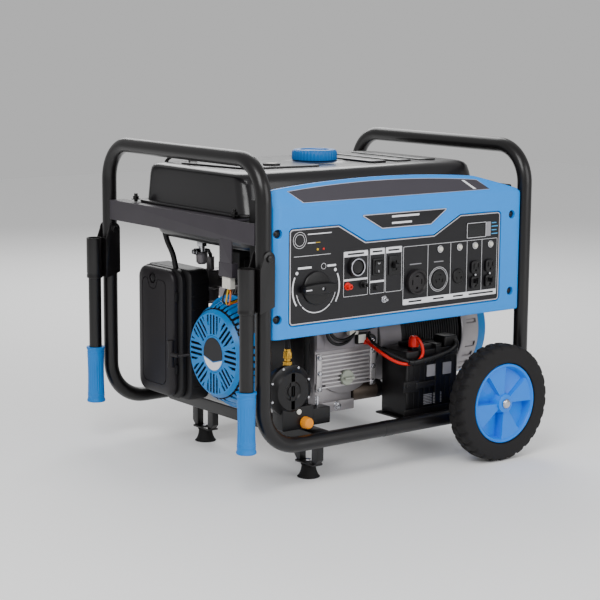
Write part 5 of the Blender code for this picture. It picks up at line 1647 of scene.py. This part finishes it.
@dataclass
class AirFilter:
    """The tall air filter box with its bowed lid and stepped base, and the fuel tap above it."""

    knob_y: float = 0.482
    knob_z: float = 0.374
    tap_x: float = 0.126
    tap_y: float = 0.4

    def box(self) -> None:
        """The base and the lid, whose face has a grooved panel and a well for the knob."""
        base = block((0.078, 0.3725, 0.112), (0.1275, 0.5505, 0.4005), 0.02, 0.004, Axis.X)
        step = block((0.066, 0.388, 0.113), (0.08, 0.55, 0.4), 0.03, 0.003, Axis.X)
        ribs = [block((0.084, 0.3714, z), (0.124, 0.3735, z + 0.004), 0.001, 0.0009)
                for z in np.linspace(0.14, 0.37, 9)]
        Piece.make("filter_base", joined([base, step, *ribs]), MOULDED, node="air_filter_base")
        outline = rectangle((0.4055, 0.1165), (0.5465, 0.3975), 0.028, 10)
        levels = [(0.0, 0.065), (0.0, 0.06), (0.0014, 0.0565), (0.0045, 0.0538),
                  (0.009, 0.052), (0.015, 0.0508), (0.022, 0.0503)]
        lid = skin(np.stack([placed(inset(outline, d), x, Axis.X) for d, x in levels]))
        panel = filleted([(0.4285, 0.14), (0.5235, 0.14), (0.5235, 0.374), (0.502, 0.374),
                          (0.492, 0.352), (0.472, 0.352), (0.462, 0.374), (0.4285, 0.374)],
                         [0.018, 0.018, 0.014, 0.007, 0.009, 0.009, 0.007, 0.014], 6)
        grooves = [band(panel, 0.0022, 0.04, 0.052, Axis.X),
                   rod((0, self.knob_y, self.knob_z), Axis.X, 0.0125, 0.04, 0.0555, 0.0005, 40)]
        made = Piece.make("filter_lid", lid, FILTER_BLACK, node="air_filter_cover", smooth=28)
        for groove in grooves:
            Piece.carve(made, groove)
        made.data.set_sharp_from_angle(angle=radians(28))

    def trim(self) -> None:
        """The notched knob, the clips and the breather hose."""
        knob = lathe([(0.0, 0.0502), (0.005, 0.0502), (0.0074, 0.051), (0.0082, 0.053),
                      (0.0084, 0.056), (0.0, 0.056)], (0, self.knob_y, self.knob_z), Axis.X, 48,
                     lambda a, r, x: (r - 0.0005 * (np.cos(12 * a) > 0.3) * (r > 0.007), x))
        Piece.make("filter_knob", knob, MOULDED)
        clips = [block((0.06, 0.4022, z), (0.069, 0.4062, z + 0.02), 0.0015, 0.001)
                 for z in (0.17, 0.33)]
        Piece.make("filter_clips", joined(clips), MOULDED)
        strut = smooth_path([(0.075, 0.425, 0.4), (0.072, 0.432, 0.43), (0.064, 0.442, 0.46),
                             (0.058, 0.447, 0.49)], 24)
        Piece.make("breather_hose", sweep(strut, 0.006, 18), WIRE_BLACK)

    def tap(self) -> None:
        """The fuel tap with its bowl, and a hose to the carburettor."""
        x, y = self.tap_x, self.tap_y
        tap = [rod((x, y, 0.0), Axis.Z, 0.0072, 0.434, 0.47),
               hexagon((x, y, 0.0), Axis.Z, 0.0118, 0.448, 0.46),
               rod((0.0, y, 0.437), Axis.X, 0.0052, x - 0.024, x + 0.014),
               hexagon((0.0, y, 0.437), Axis.X, 0.008, x - 0.018, x - 0.01)]
        Piece.make("fuel_tap", joined(tap), ZINC)
        bowl = lathe([(0.0, 0.408), (0.008, 0.4085), (0.012, 0.413), (0.013, 0.43),
                      (0.0105, 0.4345), (0.0, 0.4345)], (x, y, 0.0), steps=40)
        Piece.make("fuel_tap_bowl", bowl, GREY_CAST)
        hose = smooth_path([(x + 0.012, y, 0.437), (x + 0.02, y + 0.004, 0.436),
                            (0.155, 0.414, 0.43), (0.163, 0.421, 0.424), (0.165, 0.424, 0.4195)],
                           36)
        Piece.make("fuel_hose", sweep(hose, 0.0042, 16), WIRE_BLACK)

    def build(self) -> None:
        """Makes the air filter's and the tap's pieces."""
        self.box()
        self.trim()
        self.tap()


# ---------------------------------------------------------------- battery, gas and wiring

@dataclass
class PowerAndGas:
    """The battery with its strap and leads, and the gas regulator with its fittings."""

    low: tuple = (0.405, 0.036, 0.0962)
    high: tuple = (0.556, 0.122, 0.246)

    def battery(self) -> None:
        """A ribbed case with a stepped lid, posts, blank labels, a strap, a bracket and covers."""
        x0, y0, z0 = self.low
        x1, y1, z1 = self.high
        case = block((x0 + 0.002, y0 + 0.0015, z0), (x1 - 0.002, y1 - 0.0015, z1 - 0.026), 0.004,
                     0.0015, Axis.Z)
        lid = block((x0, y0, z1 - 0.027), (x1, y1, z1 - 0.008), 0.005, 0.0015, Axis.Z)
        crest = block((x0 + 0.04, y0 + 0.01, z1 - 0.009), (x1 - 0.04, y1 - 0.01, z1), 0.003,
                      0.001, Axis.Z)
        ribs = [block((x, y0 + 0.0004, 0.104), (x + 0.003, y0 + 0.003, z1 - 0.03), 0.0008,
                      0.0006) for x in np.linspace(0.412, 0.546, 10)]
        posts = [block((x, 0.048, z1 - 0.009), (x + 0.016, 0.063, z1 + 0.0118), 0.002, 0.001)
                 for x in (0.432, 0.531)]
        Piece.make("battery_case", joined([case, lid, crest, *ribs, *posts]), SOCKET,
                   node="battery")
        labels = [block((x, y0 - 0.0002, z), (x + wide, y0 + 0.002, z + 0.026), 0.001, 0.0001)
                  for x, z, wide in ((0.464, 0.178, 0.028), (0.51, 0.178, 0.024))]
        labels += [block((x, y0 - 0.0002, z), (x + 0.023, y0 + 0.002, z + 0.0013), 0.0004, 0.0001)
                   for x in (0.456, 0.484) for z in np.arange(0.118, 0.14, 0.0034)]
        Piece.make("battery_labels", joined(labels), GREY_INK)
        low_y, high_y, top = y0 - 0.0022, y1 + 0.0016, z1 + 0.0014
        strap = filleted([(low_y, 0.096), (low_y, top), (high_y, top), (high_y, 0.096),
                          (high_y - 0.0015, 0.096), (high_y - 0.0015, top - 0.0015),
                          (low_y + 0.0015, top - 0.0015), (low_y + 0.0015, 0.096)],
                         [0, 0.004, 0.004, 0, 0, 0.003, 0.003, 0], 4)
        Piece.make("hold_down_strap", plate(strap, 0.487, 0.501, Axis.X, 0.0004, 1), SOCKET)
        bracket = [block((0.396, 0.033, 0.15), (0.44, 0.0352, 0.174), 0.003, 0.0008),
                   block((0.43, 0.031, 0.156), (0.485, 0.0352, 0.17), 0.003, 0.0015),
                   rod((0.406, 0.0, 0.164), Axis.Y, 0.005, 0.03, 0.034, 0.0008, 24)]
        Piece.make("battery_bracket", joined(bracket), MOULDED)
        boot = lathe([(0.0, 0.245), (0.011, 0.245), (0.0118, 0.254), (0.0105, 0.263),
                      (0.007, 0.268), (0.0, 0.269)], (0.44, 0.054, 0.0), steps=28)
        Piece.make("battery_boot", boot, RED)
        cover = block((0.518, 0.04, 0.237), (0.554, 0.08, 0.26), 0.005, 0.003, Axis.Z)
        Piece.make("battery_post_cover", cover, WIRE_BLACK)

    def leads(self) -> None:
        """The red and black cables, the tied loom and the starter relay."""
        route = [(0.44, 0.048, 0.264), (0.441, 0.041, 0.263), (0.4425, 0.0345, 0.256),
                 (0.444, 0.0302, 0.246), (0.445, 0.0296, 0.234), (0.439, 0.0295, 0.223),
                 (0.427, 0.0295, 0.216), (0.412, 0.0295, 0.214), (0.396, 0.031, 0.215),
                 (0.382, 0.037, 0.219), (0.37, 0.046, 0.226), (0.36, 0.058, 0.235),
                 (0.353, 0.072, 0.244), (0.35, 0.086, 0.251), (0.3505, 0.1, 0.2555),
                 (0.353, 0.11, 0.2565), (0.357, 0.117, 0.257)]
        Piece.make("starter_cable", sweep(smooth_path(route, 140), 0.0034, 18), RED,
                   node="battery_cable")
        sleeve = [(0.402, 0.0262, 0.219), (0.415, 0.0255, 0.2165), (0.43, 0.0252, 0.217),
                  (0.45, 0.0252, 0.219), (0.475, 0.0255, 0.222), (0.5, 0.0262, 0.226),
                  (0.525, 0.0285, 0.231), (0.542, 0.032, 0.238), (0.548, 0.04, 0.247),
                  (0.544, 0.052, 0.25)]
        path = smooth_path(sleeve, 240)
        ripple = 0.0056 + 0.0005 * np.sin(np.arange(240) * 2 * pi / 4)
        Piece.make("loom_sleeve", sweep(path, ripple, 18), WIRE_BLACK)
        black = [(0.403, 0.0262, 0.22), (0.39, 0.033, 0.226), (0.376, 0.044, 0.234),
                 (0.364, 0.058, 0.243), (0.356, 0.074, 0.252), (0.352, 0.09, 0.261),
                 (0.356, 0.106, 0.27), (0.368, 0.116, 0.274)]
        Piece.make("earth_cable", sweep(smooth_path(black, 90), 0.003, 16), WIRE_BLACK)
        loom = [(0.41, 0.115, 0.3), (0.385, 0.105, 0.29), (0.36, 0.1, 0.286),
                (0.335, 0.1, 0.285), (0.305, 0.105, 0.288), (0.275, 0.108, 0.296),
                (0.25, 0.108, 0.304), (0.225, 0.102, 0.31)]
        wires = ((WIRE_BLACK, (0, 0, 0)), (RED, (0, 0.003, 0.005)),
                 (WIRE_BLACK, (0, -0.003, 0.007)), (WHITE, (0.004, 0.001, 0.011)),
                 (WIRE_ORANGE, (-0.003, -0.003, 0.013)))
        for number, (finish, step) in enumerate(wires):
            path = smooth_path(loom, 60) + np.asarray(step)
            Piece.make("loom_wire_%d" % number, sweep(path, 0.0019, 12), finish)
        hanging = [(0.245, 0.106, 0.31), (0.242, 0.104, 0.288), (0.25, 0.102, 0.27),
                   (0.27, 0.102, 0.26), (0.295, 0.104, 0.262), (0.315, 0.108, 0.274),
                   (0.325, 0.11, 0.29), (0.326, 0.11, 0.308)]
        for number, drop in enumerate((0.0, 0.009)):
            path = smooth_path(hanging, 70) + np.array([drop * 0.5, -drop * 0.3, drop])
            Piece.make("vent_hose_%d" % number, sweep(path, 0.0034, 16), WIRE_BLACK)
        plugs = [block((0.302, 0.102, 0.276), (0.326, 0.113, 0.292), 0.002, 0.001),
                 block((0.286, 0.106, 0.294), (0.306, 0.115, 0.308), 0.002, 0.001)]
        Piece.make("loom_plugs", joined(plugs), WHITE)
        ties = [ring((x, 0.0253, z), Axis.X, 0.0056, 0.0072, -0.0018, 0.0018)
                for x, z in ((0.414, 0.2166), (0.44, 0.218), (0.47, 0.2214))]
        Piece.make("cable_ties", joined(ties), MOULDED)
        relay = block((0.33, 0.109, 0.252), (0.354, 0.12, 0.276), 0.002, 0.0015)
        body = rod((0.37, 0.0, 0.258), Axis.Y, 0.0125, 0.11, 0.1215, 0.001, 36)
        Piece.make("starter_relay", relay + body, SOCKET)
        Piece.make("relay_label", block((0.332, 0.1084, 0.255), (0.352, 0.11, 0.273),
                                        0.0005, 0.0002), WHITE)
        boot = lathe([(0.0, -0.01), (0.0058, -0.01), (0.0078, -0.004), (0.0072, 0.006),
                      (0.0, 0.008)], (0.357, 0.114, 0.257), Axis.X, 24)
        nut = joined([hexagon((0.37, 0.113, 0.258), Axis.Y, 0.005, -0.006, 0.0),
                      rod((0.37, 0.113, 0.258), Axis.Y, 0.0025, -0.011, 0.0, 0.0004, 16)])
        Piece.make("relay_boot", boot, RED)
        Piece.make("relay_nut", nut, ZINC)

    def regulator(self) -> None:
        """Two pressed dishes bolted round their rim, with an upright rib and a button."""
        spot = (0.095, 0.0, 0.195)
        disc = lathe([(0.0, 0.0285), (0.018, 0.0285), (0.02, 0.0262), (0.0385, 0.0262),
                      (0.04, 0.0275), (0.047, 0.0345), (0.0525, 0.0362), (0.053, 0.0372),
                      (0.053, 0.045), (0.052, 0.0458), (0.048, 0.048), (0.044, 0.0655),
                      (0.0, 0.0658)], spot, Axis.Y, 96)
        rib = block((0.089, 0.0262, 0.156), (0.101, 0.032, 0.234), 0.004, 0.0015)
        boss = rod((0.095, 0.0, 0.195), Axis.Y, 0.0125, 0.0262, 0.032, 0.0012)
        inlet = block((0.0722, 0.0305, 0.1125), (0.1518, 0.0655, 0.1598), 0.004, 0.0015)
        Piece.make("regulator_body", joined([disc, rib, boss, inlet]), SOCKET,
                   node="gas_regulator")
        # Painted shade: a thin black sheet stands for the shade inside the slot on the boss.
        Piece.make("regulator_slot_shade", block((0.0938, 0.0258, 0.186), (0.0962, 0.0265, 0.204),
                                           0.001, 0.0002), PAINTED_SHADE)
        screws = [hexagon((0.095 + 0.0495 * cos(radians(a)), 0.0365,
                           0.195 + 0.0495 * sin(radians(a))), Axis.Y, 0.003, -0.0032, 0.001)
                  for a in range(22, 382, 45)]
        Piece.make("regulator_screws", joined(screws), ZINC)
        valve = block((0.1502, 0.0345, 0.1152), (0.1978, 0.0635, 0.1498), 0.003, 0.0015)
        stem = rod((0.0, 0.049, 0.1325), Axis.X, 0.006, 0.197, 0.1978, 0.0003)
        Piece.make("valve_block", valve + stem, SOCKET)
        rod_shape = rod((0.174, 0.049, 0.0), Axis.Z, 0.004, 0.149, 0.172, 0.0006)
        Piece.make("valve_rod", rod_shape, ZINC)
        button = rod((0.112, 0.0, 0.15), Axis.Y, 0.0055, 0.0268, 0.0315, 0.0008)
        Piece.make("prime_button", button, WHITE)
        fitting = lathe([(0.0, 0.2355), (0.0075, 0.2355), (0.0075, 0.24), (0.009, 0.241),
                         (0.009, 0.254), (0.007, 0.2555), (0.007, 0.26), (0.0088, 0.2612),
                         (0.0088, 0.274), (0.0075, 0.276), (0.0075, 0.28), (0.0, 0.28)],
                        (0.094, 0.045, 0.0), steps=72,
                        ripple=lambda a, r, z: (r - 0.0005 * (np.cos(24 * a) > 0)
                                                * (r > 0.0086), z))
        Piece.make("brass_fitting", fitting, BRASS)
        elbow = rod((0.094, 0.045, 0.0), Axis.Z, 0.0058, 0.2806, 0.3114)
        Piece.make("gas_hose_rubber", elbow, RUBBER, node="gas_hose")
        cap = lathe([(0.0, -0.0168), (0.0085, -0.0168), (0.0105, -0.0155), (0.0118, -0.0125),
                     (0.012, -0.003), (0.0125, -0.002), (0.0125, 0.0), (0.0, 0.0)][::-1],
                    (0.128, 0.0297, 0.126), Axis.Y, 72,
                    lambda a, r, y: (r - 0.0004 * (np.cos(18 * a) > 0.2) * (r > 0.0115), y))
        Piece.make("gas_cap_moulding", cap, ORANGE, "gas_inlet_cap", "gas_inlet_cap")
        hose = smooth_path([(0.16, 0.062, 0.1325), (0.166, 0.074, 0.133), (0.176, 0.09, 0.14),
                            (0.188, 0.105, 0.17), (0.194, 0.112, 0.22), (0.194, 0.112, 0.27),
                            (0.19, 0.108, 0.32), (0.186, 0.102, 0.36)], 60)
        Piece.make("gas_feed_hose", sweep(hose, 0.0058, 18), RUBBER)

    def build(self) -> None:
        """Makes the battery's, the leads' and the regulator's pieces."""
        self.battery()
        self.leads()
        self.regulator()


# ---------------------------------------------------------------- studio

@dataclass
class Studio:
    """A plain pale floor, three soft lights and the camera."""

    camera_at: tuple = (-2.2646, -2.9358, 0.938)
    camera_turn: tuple = (80.6, 0.0, -37.4)
    roll: float = 0.4
    lens: float = 102.0
    air_strength: float = 0.55
    lights: tuple = (("key_light", (-2.2, -1.6, 2.6), 1.8, 78),
                     ("fill_light", (0.9, -3.4, 1.5), 2.4, 54),
                     ("rim_light", (1.2, 2.2, 2.2), 2.0, 52))

    def light(self, name: str, place: tuple, size: float, power: float) -> None:
        """A square soft light that faces the generator's middle."""
        data = bpy.data.lights.new(name, "AREA")
        data.size, data.energy = size, power
        made = bpy.data.objects.new(name, data)
        made.location = place
        aim = Vector((0.0, 0.0, 0.35)) - Vector(place)
        made.rotation_euler = aim.to_track_quat("-Z", "Y").to_euler()
        bpy.context.scene.collection.objects.link(made)

    def build(self) -> None:
        """Makes the floor, the lights, the surroundings and the camera."""
        mesh = bpy.data.meshes.new("studio_floor")
        mesh.from_pydata([(-6, -6, 0), (6, -6, 0), (6, 6, 0), (-6, 6, 0)], [], [(0, 1, 2, 3)])
        floor = bpy.data.objects.new("studio_floor", mesh)
        floor_paint = Finish("studio_floor_paint", "#fdfdfd", 0.8, "grey_plastic",
                             mottling=0.005, patch_mm=900, depth_mm=0.0)
        mesh.materials.append(floor_paint.material())
        bpy.context.scene.collection.objects.link(floor)
        for name, place, size, power in self.lights:
            self.light(name, place, size, power)
        world = bpy.context.scene.world or bpy.data.worlds.new("studio_air")
        bpy.context.scene.world = world
        world.use_nodes = True
        world.node_tree.nodes["Background"].inputs["Color"].default_value = (1, 1, 1, 1)
        world.node_tree.nodes["Background"].inputs["Strength"].default_value = self.air_strength
        data = bpy.data.cameras.new("main_camera")
        data.lens, data.sensor_width = self.lens, 36.0
        camera = bpy.data.objects.new("main_camera", data)
        turn = Euler([radians(a) for a in self.camera_turn]).to_matrix().to_4x4()
        camera.matrix_world = (Matrix.Translation(self.camera_at) @ turn
                               @ Matrix.Rotation(radians(self.roll), 4, "Z"))
        bpy.context.scene.collection.objects.link(camera)
        bpy.context.scene.camera = camera


def write_sizes() -> None:
    """Brings the scene's placements up to date."""
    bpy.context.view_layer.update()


def main() -> None:
    """Builds the generator's sub-assemblies in order, then the studio."""
    logging.basicConfig(level=logging.INFO, format="%(message)s")
    TubeFrame().build()
    for side in ("front", "back"):
        Wheel(side).build()
        FoldHandle(side).build()
    FuelTank().build()
    ControlPanel().build()
    Engine().build()
    RecoilStarter().build()
    Alternator().build()
    AirFilter().build()
    PowerAndGas().build()
    Studio().build()
    write_sizes()
    LOG.info("%d pieces made", Piece.count)


if __name__ == "__main__":
    main()
